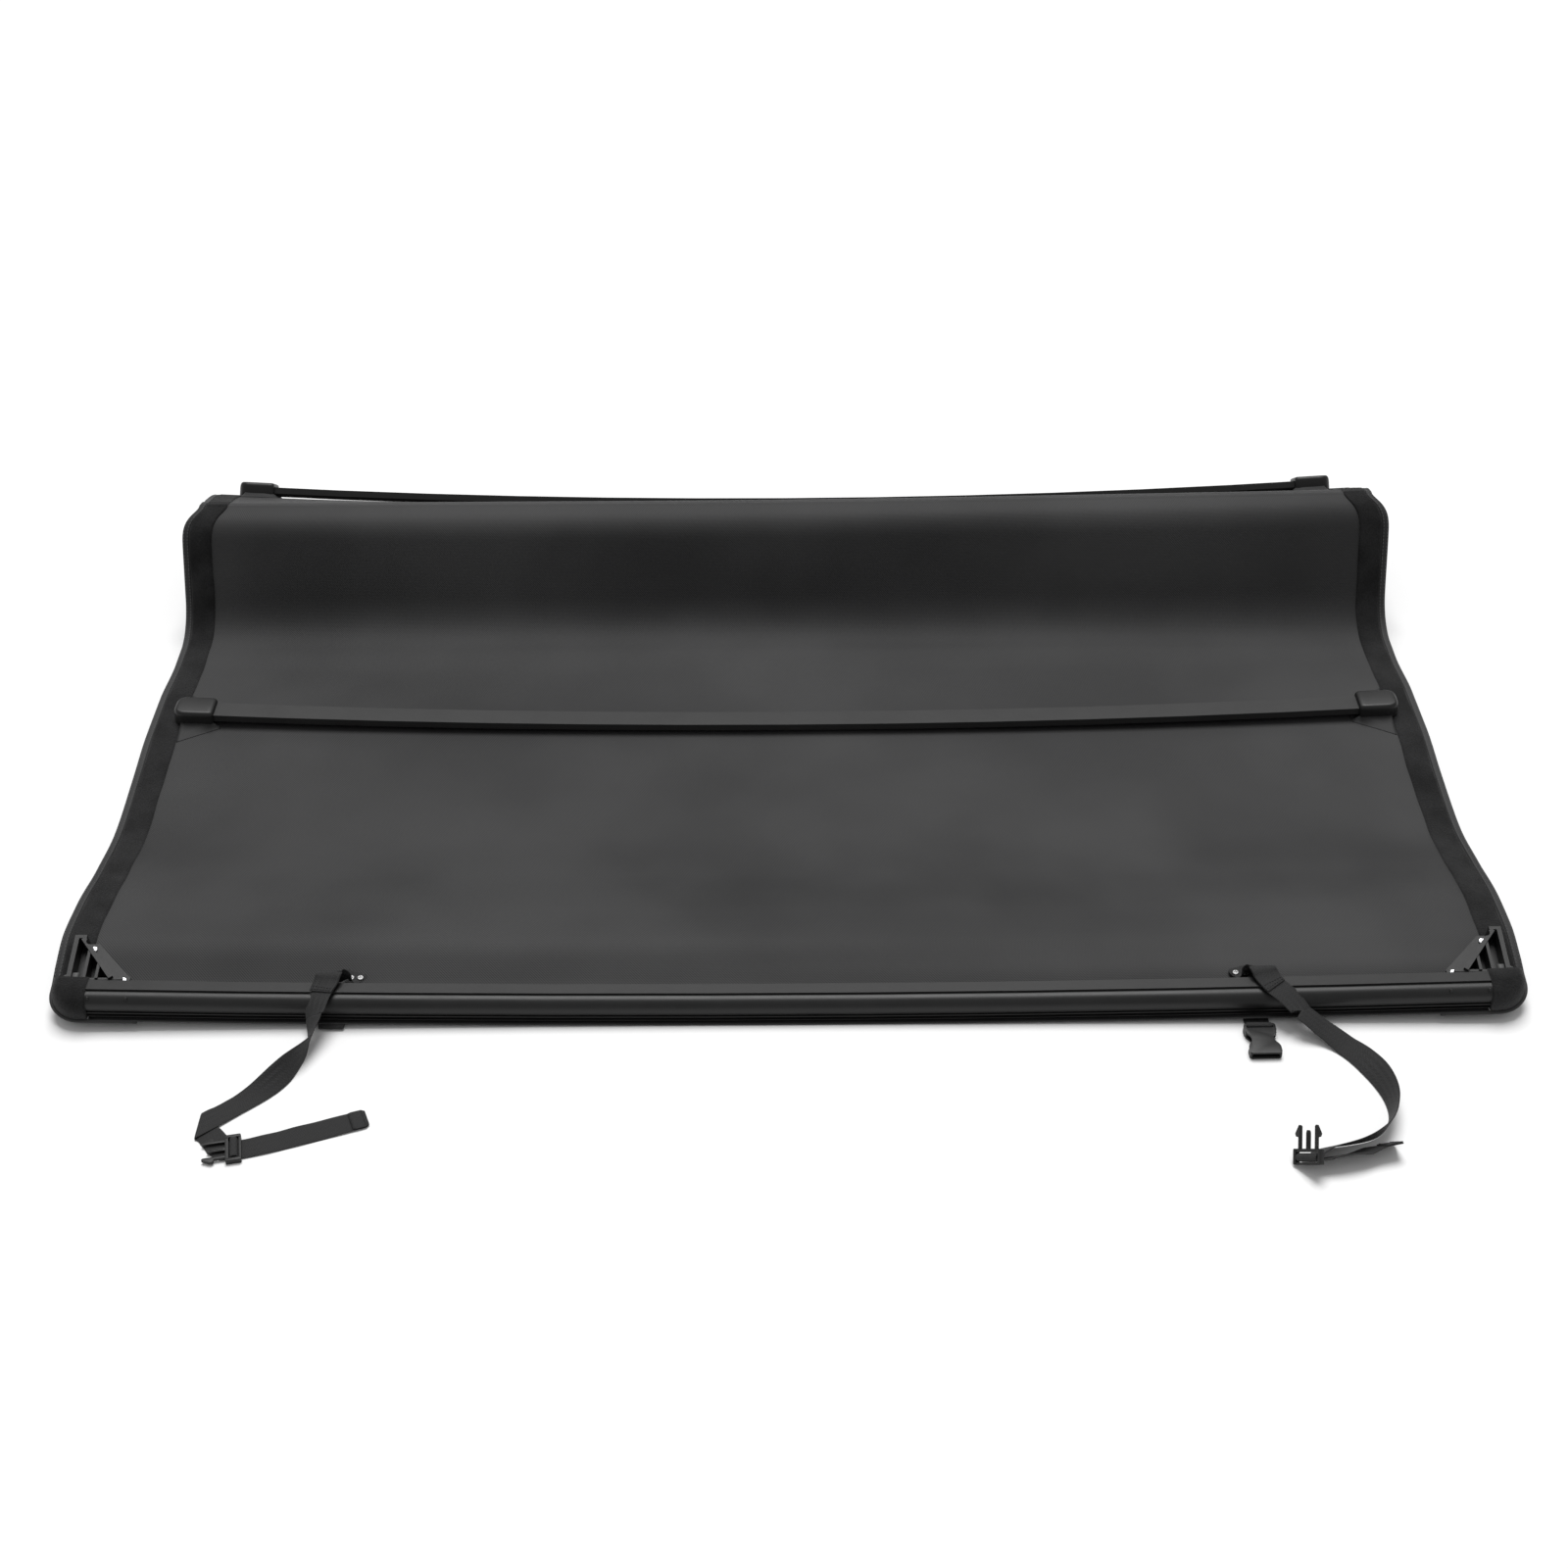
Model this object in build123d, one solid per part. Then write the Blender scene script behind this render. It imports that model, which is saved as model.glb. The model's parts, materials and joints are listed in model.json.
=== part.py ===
from build123d import *
import math
import os

# Soft roll-up truck-bed tonneau cover, lying underside up with its tail folded under.
# X runs across the cover, Y from the header rail (cab end) to the fold, Z up.
# The origin is on the floor, in the middle of the folded cover and its latch buckles.

# Driving dimensions, in millimetres and degrees
COVER_WIDTH = 1600.0
FOLDED_DEPTH = 1074.25
LATCH_REACH = 60.755
SHEET = 2.0
LAYER_GAP = 0.1

# Loop strips (hook-and-loop) along the side edges
STRIP_WIDTH = 30.0
STRIP_THICK = 1.2
HEM_WIDTH = 9.0

# Header rail
RAIL_HALF = 765.0
RAIL_DEPTH = 30.0
RAIL_TOP = 30.0
RAIL_CROWN = 12.0
RAIL_WALL = 1.8
RAIL_FLOOR_GAP = 1.7

# Bows
BOW_HALF = 770.0
BOW_WIDE = 28.0
BOW_HIGH = 12.0
BOW_WALL = 1.4
BOW_CROWN = 22.0
BOW_LIFT = 0.6
BOW_SHEET_CROWN = 20.0
BOW_1_AT = 553.0

# Bow end caps
CAP_LONG = 50.0
CAP_WIDE = 38.0
CAP_HIGH = 20.0
CAP_SOCKET = 34.0
CAP_TUBE_DROP = 12.0
FIT_GAP = 0.2

# Folds of the sheet: turn of the sheet at each, and its bend radius
VALLEY_TURN, VALLEY_RADIUS = 65.0, 70.0
CREST_TURN, CREST_RADIUS = 98.0, 46.0
REAR_TURN, REAR_RADIUS = 147.0, 15.78
TAIL_TURN, TAIL_RADIUS = 90.0, 15.0

# Straight runs of the sheet between the folds
RISE_RUN = 76.0
TOP_RUN = 203.99
BOW_2_RUN = 166.0
TAIL_FLOOR_RUN = 236.6
TAIL_LIFT_RUN = 25.0
TAIL_END_RUN = 156.0

# Front panel: distance from the header's front, height of the middle of the sheet
# at the centre line, and how far its side edges stand above the centre line
FRONT_STATIONS = [
    (31.0, 8.0, 12.0),
    (70.0, 18.0, 12.0),
    (110.0, 25.0, 12.0),
    (160.0, 23.0, 11.5),
    (245.0, 9.0, 9.0),
    (330.0, 1.0, 6.0),
    (430.0, 1.0, 13.0),
    (BOW_1_AT - 40, 1.0, BOW_SHEET_CROWN),
    (BOW_1_AT + 40, 1.0, BOW_SHEET_CROWN),
    (670.0, 6.0, 8.0),
    (718.0, 14.0, 0.0),
]
# Top panel, in its own plane: distance along the sheet, height, edge height
TOP_STATIONS = [
    (0.0, 0.0, 0.0),
    (60.0, 0.0, 8.0),
    (BOW_2_RUN - 30, 0.0, BOW_SHEET_CROWN),
    (BOW_2_RUN + 22, 0.0, BOW_SHEET_CROWN),
    (TOP_RUN, 0.0, 0.0),
]

# Straps
WEB_WIDE = 27.0
WEB_THICK = 1.4
STRAP_TUBE = 7.6
STRAP_FLOOR = STRAP_TUBE / 2 + 0.1

HALF = COVER_WIDTH / 2
Y_FRONT = -(FOLDED_DEPTH - LATCH_REACH) / 2
os.makedirs("parts", exist_ok=True)


def save(name, *solids):
    """Writes one sub-part: its separate solids, in the cover's frame."""
    shape = solids[0] if len(solids) == 1 else Compound(children=list(solids))
    shape.label = name
    export_step(shape, f"parts/{name}.step")


def mirrored(solid):
    return mirror(solid, about=Plane.YZ)


def flat_face(corners):
    """A face from its corner points in space, which lie in one plane."""
    return Face(Wire.make_polygon([Vector(*c) for c in corners], close=True))


def yz_face(corners):
    return flat_face([(0, y, z) for y, z in corners])


def across(face, x_low, x_high):
    """Extrudes a face of the YZ plane from one x to another."""
    return Pos(x_low, 0, 0) * Solid.extrude(face, Vector(x_high - x_low, 0, 0))


def fuse(first, *rest):
    for piece in rest:
        first = first + piece
    return first.solids()[0] if len(first.solids()) == 1 else first


# ---------------------------------------------------------------- fold chain


def ahead(point, heading, length):
    a = math.radians(heading)
    return (point[0] + length * math.cos(a), point[1] + length * math.sin(a))


def round_bend(point, heading, radius, turn):
    """End of a bend that starts at a point: turn is positive upwards."""
    side = 1 if turn > 0 else -1
    centre = ahead(point, heading + 90 * side, radius)
    return ahead(centre, heading + turn - 90 * side, radius)


def bend_band(point, heading, radius, turn, low, high):
    """Face of a bent layer between two heights above the middle of the sheet."""
    side = 1 if turn > 0 else -1
    centre = ahead(point, heading + 90 * side, radius)

    def edge(height, share):
        return ahead(centre, heading + turn * share - 90 * side, radius - side * height)

    def arc(height, shares):
        ends = [Vector(0, *edge(height, share)) for share in shares]
        return Edge.make_three_point_arc(*ends)

    ends = [
        Edge.make_line(Vector(0, *edge(low, share)), Vector(0, *edge(high, share)))
        for share in (0, 1)
    ]
    return Face(Wire([arc(low, (0, 0.5, 1)), ends[1], arc(high, (0, 0.5, 1)), ends[0]]))


def run_band(point, heading, length, low, high):
    """Face of a straight layer between two heights above the middle of the sheet."""
    end = ahead(point, heading, length)
    corners = [
        ahead(point, heading + 90, low),
        ahead(end, heading + 90, low),
        ahead(end, heading + 90, high),
        ahead(point, heading + 90, high),
    ]
    return yz_face(corners)


def fold_gap(turn):
    """Room each side of a fold's axis for the layers to open flat."""
    return (SHEET / 2 + LAYER_GAP + STRIP_THICK) * math.tan(math.radians(turn / 2)) + 0.4


class Fold:
    """One fold of the sheet: where it starts, its axis at mid-bend, where it ends."""

    def __init__(self, start, heading, radius, turn):
        self.start, self.heading, self.radius, self.turn = start, heading, radius, turn
        self.axis = round_bend(start, heading, radius, turn / 2)
        self.end = round_bend(start, heading, radius, turn)
        self.out = heading + turn
        share = math.degrees(fold_gap(abs(turn)) / radius)
        self.half = abs(turn) / 2 - share

    def entry(self, low, high):
        """The half-bend that belongs to the panel before the fold."""
        turn = math.copysign(self.half, self.turn)
        return bend_band(self.start, self.heading, self.radius, turn, low, high)

    def exit(self, low, high):
        """The half-bend that belongs to the panel after the fold."""
        turn = math.copysign(self.half, self.turn)
        begin = round_bend(self.start, self.heading, self.radius, self.turn - turn)
        return bend_band(begin, self.out - turn, self.radius, turn, low, high)


def front_y(distance):
    return Y_FRONT + distance


last_y, last_z, _ = FRONT_STATIONS[-1]
valley = Fold((front_y(last_y), last_z), 0, VALLEY_RADIUS, VALLEY_TURN)
crest = Fold(ahead(valley.end, valley.out, RISE_RUN), valley.out, CREST_RADIUS, -CREST_TURN)
rear = Fold(ahead(crest.end, crest.out, TOP_RUN), crest.out, REAR_RADIUS, -REAR_TURN)
lift = Fold(ahead(rear.end, rear.out, TAIL_FLOOR_RUN), rear.out, TAIL_RADIUS, -TAIL_TURN)
tail = Fold(ahead(lift.end, lift.out, TAIL_LIFT_RUN), lift.out, TAIL_RADIUS, -TAIL_TURN)
tail_edge = ahead(tail.end, tail.out, TAIL_END_RUN)

for name, fold in [("valley", valley), ("crest", crest), ("rear", rear), ("lift", lift),
                   ("tail", tail)]:
    print(name, "fold axis y z", round(fold.axis[0], 3), round(fold.axis[1], 3))
print("deepest point", round(tail_edge[0], 2), "tail floor height", round(rear.end[1], 3))

# ------------------------------------------------------------ sheet and strips

SHEET_LAYER = (-SHEET / 2, SHEET / 2)
STRIP_LOW = SHEET / 2 + LAYER_GAP
STRIP_LAYER = (STRIP_LOW, STRIP_LOW + STRIP_THICK)
STRIP_IN = HALF - HEM_WIDTH - STRIP_WIDTH
STRIP_OUT = HALF - HEM_WIDTH


def crowned_section(y, z, edge_height, low, high):
    """Closed outline across the whole sheet at one station, with its edges raised."""
    left, middle, right = (-HALF, edge_height), (0, 0), (HALF, edge_height)

    def line(offset):
        points = [Vector(x, y, z + h + offset) for x, h in (left, middle, right)]
        if edge_height < 0.01:
            return Edge.make_line(points[0], points[2])
        return Edge.make_three_point_arc(*points)

    bottom, top = line(low), line(high)
    sides = [Edge.make_line(bottom @ end, top @ end) for end in (0, 1)]
    return Wire([bottom, sides[1], top, sides[0]])


def strip_section(y, z, edge_height, low, high):
    """Closed outline of the right-hand loop strip at one station."""
    heights = [z + edge_height * (x / HALF) ** 2 for x in (STRIP_IN, STRIP_OUT)]
    corners = [
        (STRIP_IN, y, heights[0] + low),
        (STRIP_OUT, y, heights[1] + low),
        (STRIP_OUT, y, heights[1] + high),
        (STRIP_IN, y, heights[0] + high),
    ]
    return Wire.make_polygon([Vector(*c) for c in corners], close=True)


def panel(section, stations, low, high):
    wires = [section(y, z, edge, low, high) for y, z, edge in stations]
    spans = [Solid.make_loft(pair, ruled=True) for pair in zip(wires, wires[1:])]
    return fuse(*spans)


def strips(faces, x_low=STRIP_IN, x_high=STRIP_OUT):
    right = fuse(*[across(face, x_low, x_high) for face in faces])
    return mirrored(right), right


front_stations = [(front_y(y), z, edge) for y, z, edge in FRONT_STATIONS]
# The top panel is made level at the origin, then laid on its slope.
top_place = Pos(0, *crest.end) * Rot(crest.out, 0, 0)


def front_layer(layer, x_span, section):
    """The front panel with its half of the valley bend."""
    body = panel(section, front_stations, *layer)
    return fuse(body, across(valley.entry(*layer), *x_span))


def top_layer(layer, x_span, section):
    """The top panel with its halves of the crest and rear bends."""
    body = top_place * panel(section, TOP_STATIONS, *layer)
    bends = [across(crest.exit(*layer), *x_span), across(rear.entry(*layer), *x_span)]
    return fuse(body, *bends)


FULL = (-HALF, HALF)
EDGE = (STRIP_IN, STRIP_OUT)


def straight_faces(before, after, length, layer):
    """A straight panel between two folds, with its half of each bend."""
    faces = [before.exit(*layer), run_band(before.end, before.out, length, *layer)]
    return faces + ([after.entry(*layer)] if after else [])


save("front_sheet", front_layer(SHEET_LAYER, FULL, crowned_section))
save("top_sheet", top_layer(SHEET_LAYER, FULL, crowned_section))
front_strip = front_layer(STRIP_LAYER, EDGE, strip_section)
top_strip = top_layer(STRIP_LAYER, EDGE, strip_section)
for name, strip in [("front", front_strip), ("top", top_strip)]:
    save(f"{name}_loop_strip_right", strip)
    save(f"{name}_loop_strip_left", mirrored(strip))

STRAIGHT_PANELS = [
    ("rise", valley, crest, RISE_RUN),
    ("tail_floor", rear, lift, TAIL_FLOOR_RUN),
    ("tail_lift", lift, tail, TAIL_LIFT_RUN),
    ("tail_end", tail, None, TAIL_END_RUN),
]
for name, before, after, length in STRAIGHT_PANELS:
    faces = straight_faces(before, after, length, SHEET_LAYER)
    save(f"{name}_sheet", fuse(*[across(face, *FULL) for face in faces]))
    left, right = strips(straight_faces(before, after, length, STRIP_LAYER))
    save(f"{name}_loop_strip_left", left)
    save(f"{name}_loop_strip_right", right)

# ------------------------------------------------------------------ header rail


def rail_crown(x):
    return RAIL_CROWN * (x / RAIL_HALF) ** 2


def arched(face, half_length, crown):
    """Sweeps a face of the YZ plane along an arc whose ends stand crown above it."""
    radius = half_length ** 2 / (2 * crown) + crown / 2
    half_angle = math.degrees(math.asin(half_length / radius))
    axis = Axis((0, 0, radius), (0, 1, 0))
    start = face.rotate(axis, half_angle)
    solid = revolve(start, axis, revolution_arc=2 * half_angle)
    if solid.bounding_box().max.X < half_length - 1:
        solid = revolve(start, axis, revolution_arc=-2 * half_angle)
    return solid.solids()[0]


def rail_face():
    """Flat top at the back, round nose in front, two thin ridges under the nose."""
    top, low = RAIL_TOP, RAIL_FLOOR_GAP
    back, flat = RAIL_DEPTH, RAIL_DEPTH - 15
    outline = Polyline(
        (0, 2.0, 10.0), (0, 4.5, 10.0), (0, 4.5, 8.6), (0, 1.2, 8.6), (0, 1.2, 7.4),
        (0, 4.5, 7.4), (0, 4.5, 4.6), (0, 0.6, 4.6), (0, 0.6, 3.4), (0, 4.5, 3.4),
        (0, 4.5, low), (0, back, low), (0, back, top), (0, flat, top), (0, flat, top - 2.2),
        (0, flat - 2, top - 2.2),
    )
    nose = ThreePointArc((0, flat - 2, top - 2.2), (0, 3.2, 22.6), (0, 2.0, 10.0))
    outer = Face(Wire(list(outline.edges()) + list(nose.edges())))
    core = yz_face([(7, 4.5), (back - RAIL_WALL, 4.5), (back - RAIL_WALL, top - RAIL_WALL),
                    (flat + 1, top - RAIL_WALL), (flat - 1, top - 4.6), (7.5, 22.0), (5.4, 14.0)])
    return outer - core


rail = Pos(0, Y_FRONT, 0) * arched(rail_face().face(), RAIL_HALF, RAIL_CROWN)
save("header_rail", rail)


def flap():
    """Loop-fabric end cover that wraps the end of the header rail at the sheet's corner."""
    inner, base = RAIL_HALF + 0.4, RAIL_FLOOR_GAP + rail_crown(RAIL_HALF) - 1.5
    width = HALF - inner
    block = Pos(inner + width / 2, Y_FRONT + 15.4, base + 15) * Box(width, 30, 30)
    corner = block.edges().filter_by(Axis.Z).group_by(Axis.Y)[0].sort_by(Axis.X)[-1]
    block = fillet(corner, 22)
    rims = block.edges().group_by(Axis.Z)[-1]
    return fillet(rims, 4)


END_FLAP = flap()
save("header_end_flap_right", END_FLAP)
save("header_end_flap_left", mirrored(END_FLAP))

# Corner bracket, in its own frame: x outwards, y away from the rail, z up
BRACKET_X, BRACKET_TILT = 716.0, 14.5
BRACKET_HIGH, BRACKET_BASE = 20.0, 2.2
ARM_LONG = 57.0
SCREWS = [(44.0, 49.0), (5.0, 8.0)]
bracket_y = Y_FRONT + RAIL_DEPTH + BRACKET_HIGH * math.sin(math.radians(BRACKET_TILT)) + 0.4
bracket_place = Pos(BRACKET_X, bracket_y, 24.3) * Rot(BRACKET_TILT, 0, 0)


def wall(x0, y0, x1, y1, thick, height):
    """A straight upright wall between two points of the bracket."""
    along = Vector(x1 - x0, y1 - y0)
    turn = math.degrees(math.atan2(along.Y, along.X))
    middle = Pos((x0 + x1) / 2, (y0 + y1) / 2, height / 2)
    return middle * Rot(0, 0, turn) * Box(along.length, thick, height)


def bracket():
    plate = Polyline((0, 0), (62, 0), (62, ARM_LONG), (40, ARM_LONG), (-2, 12), (0, 0))
    base = extrude(make_face(plate), amount=BRACKET_BASE)
    for x, y in SCREWS:
        base += Pos(x, y, BRACKET_BASE / 2) * Cylinder(6.5, BRACKET_BASE)
    arm = wall(59.5, 0, 59.5, ARM_LONG, 5, BRACKET_HIGH)
    head = wall(49, ARM_LONG - 2, 62, ARM_LONG - 2, 4, BRACKET_HIGH)
    diagonal = wall(52.5, ARM_LONG - 4, 14, 1.5, 5, BRACKET_HIGH)
    foot = wall(2, 1.25, 62, 1.25, 2.5, BRACKET_HIGH - 3)
    ribs = [wall(x, 1, x, (x - 14) * 1.34, 3.2, BRACKET_HIGH - 1) for x in (30, 43)]
    whole = base + arm + head + diagonal + foot + ribs[0] + ribs[1]
    for x, y in SCREWS:
        whole -= Pos(x, y, 0) * Cylinder(2.3, 30)
        whole -= Pos(x, y, BRACKET_BASE + 10) * Cylinder(4.6, 20)
    return whole.solids().sort_by(SortBy.VOLUME)[-1]


def pan_screw(shank):
    """A pan-head screw on its own axis, head up, seated at z = 0."""
    head = Pos(0, 0, 1.1) * Cylinder(3.8, 2.2)
    head = fillet(head.edges().group_by(Axis.Z)[-1], 1.2)
    recess = Pos(0, 0, 1.9) * (Box(4.4, 1, 1.2) + Box(1, 4.4, 1.2))
    return (head + Pos(0, 0, -shank / 2) * Cylinder(1.9, shank)) - recess


right_bracket = bracket_place * bracket()
save("corner_bracket_right", right_bracket)
save("corner_bracket_left", mirrored(right_bracket))
bracket_screws = [
    bracket_place * Pos(x, y, BRACKET_BASE + 0.05) * pan_screw(BRACKET_BASE - 0.2)
    for x, y in SCREWS
]
save("bracket_screws", *bracket_screws, *[mirrored(screw) for screw in bracket_screws])


def rail_rivet(x):
    """A small domed rivet on the upper front of the rail's nose."""
    dome = Sphere(1.8) & Pos(0, 0, 5) * Box(10, 10, 10)
    place = Pos(x, Y_FRONT + 5.4, 25.65 + rail_crown(x)) * Rot(38, 0, 0)
    return place * Pos(0, 0, 0.15) * dome


rivets = [rail_rivet(x) for x in (709, 750)]
save("header_rivets", *rivets, *[mirrored(rivet) for rivet in rivets])


def ribbon(points, widths, thick):
    """Webbing through points in space: its width lies along X, its faces turn with it."""
    normals = []
    for i in range(len(points)):
        before, after = points[max(i - 1, 0)], points[min(i + 1, len(points) - 1)]
        along = Vector(0, after[1] - before[1], after[2] - before[2]).normalized()
        normals.append(Vector(0, along.Z, -along.Y) * (thick / 2))
    rings = []
    for point, width, normal in zip(points, widths, normals):
        side = Vector(width / 2, 0, 0)
        middle = Vector(*point)
        corners = [middle - side - normal, middle + side - normal,
                   middle + side + normal, middle - side + normal]
        rings.append(Wire.make_polygon(corners, close=True))
    return fuse(*[Solid.make_loft(pair, ruled=True) for pair in zip(rings, rings[1:])])


# Where each long strap passes over the rail: x at its tab, at the rail's back edge,
# at the end of the flat top, and where it leaves the rail
STRAP_SIDES = {"left": (-470.0, -495.0, -502.0, -506.0), "right": (491.0, 511.0, 522.0, 544.5)}
STRAP_EXIT = (-10.0, 25.6)


def strap_anchor(xs):
    """Webbing screwed down behind the rail, led over its top and off its nose."""
    tab, back, flat, leave = xs
    lift_up = rail_crown(back)
    path = [
        (tab, 54, 25.4), (tab + (back - tab) * 0.25, 42, 23.6),
        (back, 34, 32.6 + lift_up), (back, 31, 31.9 + lift_up),
        (flat, 15, 31.9 + lift_up), (leave, *STRAP_EXIT),
    ]
    points = [(x, Y_FRONT + y, z) for x, y, z in path]
    widths = [30, 30, 30, 30, 32, WEB_WIDE]
    return ribbon(points, widths, WEB_THICK)


anchor_screws = []
for side, xs in STRAP_SIDES.items():
    band = strap_anchor(xs)
    for offset in (-5, 5):
        spot = Pos(xs[0] + offset, Y_FRONT + 48, 24.5) * Rot(8.5, 0, 0)
        band -= spot * Cylinder(2.1, 12)
        anchor_screws.append(spot * Pos(0, 0, WEB_THICK / 2 + 0.1) * pan_screw(1.2))
    save(f"{side}_strap_anchor", band)
save("strap_anchor_screws", *anchor_screws)

# ---------------------------------------------------------------- bows and caps


def bow_tube(half_length, crown):
    """Hollow cross tube with a flat top and bevelled lower edges, arched upwards."""
    wide, high = BOW_WIDE / 2, BOW_HIGH / 2
    outer = yz_face([(-wide, high), (wide, high), (wide, 0.5 - high / 2), (wide - 4, -high),
                     (4 - wide, -high), (-wide, 0.5 - high / 2)])
    wide, high = wide - BOW_WALL, high - BOW_WALL
    core = yz_face([(-wide, high), (wide, high), (wide, -high / 2), (wide - 3, -high),
                    (3 - wide, -high), (-wide, -high / 2)])
    return arched((outer - core).face(), half_length, crown)


def end_cap():
    """Moulded cap that carries the tube's end, open inboard, rounded outboard."""
    body = Pos(-CAP_LONG / 2, 0, CAP_HIGH / 2) * Box(CAP_LONG, CAP_WIDE, CAP_HIGH)
    corners = body.edges().filter_by(Axis.Z).group_by(Axis.X)[-1]
    body = fillet(corners, 14)
    body = fillet(body.edges().group_by(Axis.Z)[-1], 5)
    socket = Box(2 * CAP_SOCKET, BOW_WIDE + 2 * FIT_GAP, BOW_HIGH + 2 * FIT_GAP)
    mouth = Pos(-CAP_LONG, 0, CAP_HIGH - CAP_TUBE_DROP)
    return body - mouth * socket


def gusset():
    """Vinyl patch under a cap: narrow inboard, wide along the loop strip."""
    outline = Polyline((712, 20), (STRIP_IN - 0.5, 52), (STRIP_IN - 0.5, -52), (712, -20),
                       (712, 20))
    return extrude(make_face(outline), amount=STRIP_THICK)


TUBE_HALF = BOW_HALF - CAP_LONG + CAP_SOCKET - 1.0
tube_rise = BOW_CROWN * (TUBE_HALF / BOW_HALF) ** 2
cap_x = BOW_HALF
cap_slope = math.degrees(2 * BOW_CROWN / BOW_HALF)
cap_middle = BOW_HALF - CAP_LONG / 2
tube_middle = SHEET / 2 + BOW_LIFT + BOW_HIGH / 2


def cap_place():
    """The cap turned to the tube's end slope, its socket on the tube's middle."""
    rise = BOW_CROWN * (cap_middle / BOW_HALF) ** 2
    drop = CAP_HIGH - CAP_TUBE_DROP
    middle = Pos(cap_middle, 0, tube_middle + rise)
    return middle * Rot(0, -cap_slope * cap_middle / BOW_HALF, 0) * Pos(CAP_LONG / 2, 0, -drop)


def gusset_place():
    """The patch on the sheet, turned to the slope of its raised side."""
    slope = math.degrees(2 * BOW_SHEET_CROWN / HALF) * cap_middle / HALF
    rise = BOW_SHEET_CROWN * (cap_middle / HALF) ** 2 + SHEET / 2 + 0.15
    return Pos(cap_middle, 0, rise) * Rot(0, -slope, 0) * Pos(-cap_middle, 0, 0)


placings = {
    "bow_1": Pos(0, front_y(BOW_1_AT), FRONT_STATIONS[-3][1]),
    "bow_2": top_place * Pos(0, BOW_2_RUN, 0),
}
tube = Pos(0, 0, tube_middle) * bow_tube(TUBE_HALF, tube_rise)
right_cap = cap_place() * end_cap()
right_gusset = gusset_place() * gusset()
for name, place in placings.items():
    save(f"{name}_tube", place * tube)
    save(f"{name}_cap_right", place * right_cap)
    save(f"{name}_cap_left", place * mirrored(right_cap))
    save(f"{name}_gusset_right", place * right_gusset)
    save(f"{name}_gusset_left", place * mirrored(right_gusset))

# --------------------------------------------------------------------- tail bar

TAIL_BAR_HALF = 740.0
tail_y, tail_z = tail_edge
bar_y = tail_y - 19.5
bar_z = tail_z + SHEET / 2 + 0.2 + BOW_HIGH / 2


def tail_bar():
    wide, high = 12.5, BOW_HIGH / 2
    outer = yz_face([(bar_y - wide, bar_z - high), (bar_y + wide, bar_z - high),
                     (bar_y + wide, bar_z + high), (bar_y - wide, bar_z + high)])
    wide, high = wide - BOW_WALL, high - BOW_WALL
    core = yz_face([(bar_y - wide, bar_z - high), (bar_y + wide, bar_z - high),
                    (bar_y + wide, bar_z + high), (bar_y - wide, bar_z + high)])
    return across((outer - core).face(), -TAIL_BAR_HALF, TAIL_BAR_HALF)


def tail_plug():
    """Plastic plug in the end of the tail bar: a spigot inside and a head outside."""
    spigot = Box(20, 25 - 2 * BOW_WALL - 0.4, BOW_HIGH - 2 * BOW_WALL - 0.4)
    head = fillet(Box(5, 25, BOW_HIGH).edges().filter_by(Axis.X), 3)
    middle = Pos(TAIL_BAR_HALF - 9.9, bar_y, bar_z)
    return middle * spigot + Pos(TAIL_BAR_HALF + 2.6, bar_y, bar_z) * head


def tail_seal():
    """Rubber bulb seal along the tail edge, on a flat foot."""
    bulb = Pos(0, tail_y - 1.5, tail_z + 7.0) * Rot(0, 90, 0) * Cylinder(4.2, 2 * TAIL_BAR_HALF)
    bore = Pos(0, tail_y - 1.5, tail_z + 7.0) * Rot(0, 90, 0) * Cylinder(2.7, 2 * TAIL_BAR_HALF + 2)
    foot = Pos(0, tail_y - 1.5, tail_z + 2.3) * Box(2 * TAIL_BAR_HALF, 7, 2.2)
    return (bulb + foot) - bore


save("tail_bar", tail_bar())
plug = tail_plug()
save("tail_bar_plug_right", plug)
save("tail_bar_plug_left", mirrored(plug))
save("tail_seal", tail_seal())

# ---------------------------------------------------------------------- buckles
# Each buckle is made flat: x along it, y across it, z up from the surface it lies on.

FRAME_LONG, FRAME_HALF, FRAME_THICK = 16.0, 18.0, 6.0
PRONG_ROOT = 11.0
FEMALE_LONG, FEMALE_HALF, FEMALE_THICK = 46.0, 17.0, 9.0


def male_frame():
    """Ladder frame for the webbing, with the middle guide rail."""
    body = Pos(-FRAME_LONG / 2, 0, FRAME_THICK / 2) * Box(FRAME_LONG, 2 * FRAME_HALF, FRAME_THICK)
    body = fillet(body.edges().filter_by(Axis.Z), 2.5)
    for x in (-12.0, -5.0):
        body -= Pos(x, 0, 0) * Box(3.4, 29, 30)
    guide = Pos(9, 0, 3) * Box(19, 3.6, 4)
    return body + guide


def prong():
    """One spring arm with its barbed head, on the +y side."""
    arm = Pos(8.4, PRONG_ROOT, 3) * Box(16, 2.6, 4)
    barb = Polyline((12, 9.7), (22.5, 9.7), (24, 11.5), (15, 16.6), (12, 15.4), (12, 9.7))
    return arm + Pos(0, 0, 1) * extrude(make_face(barb), amount=4)


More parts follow.
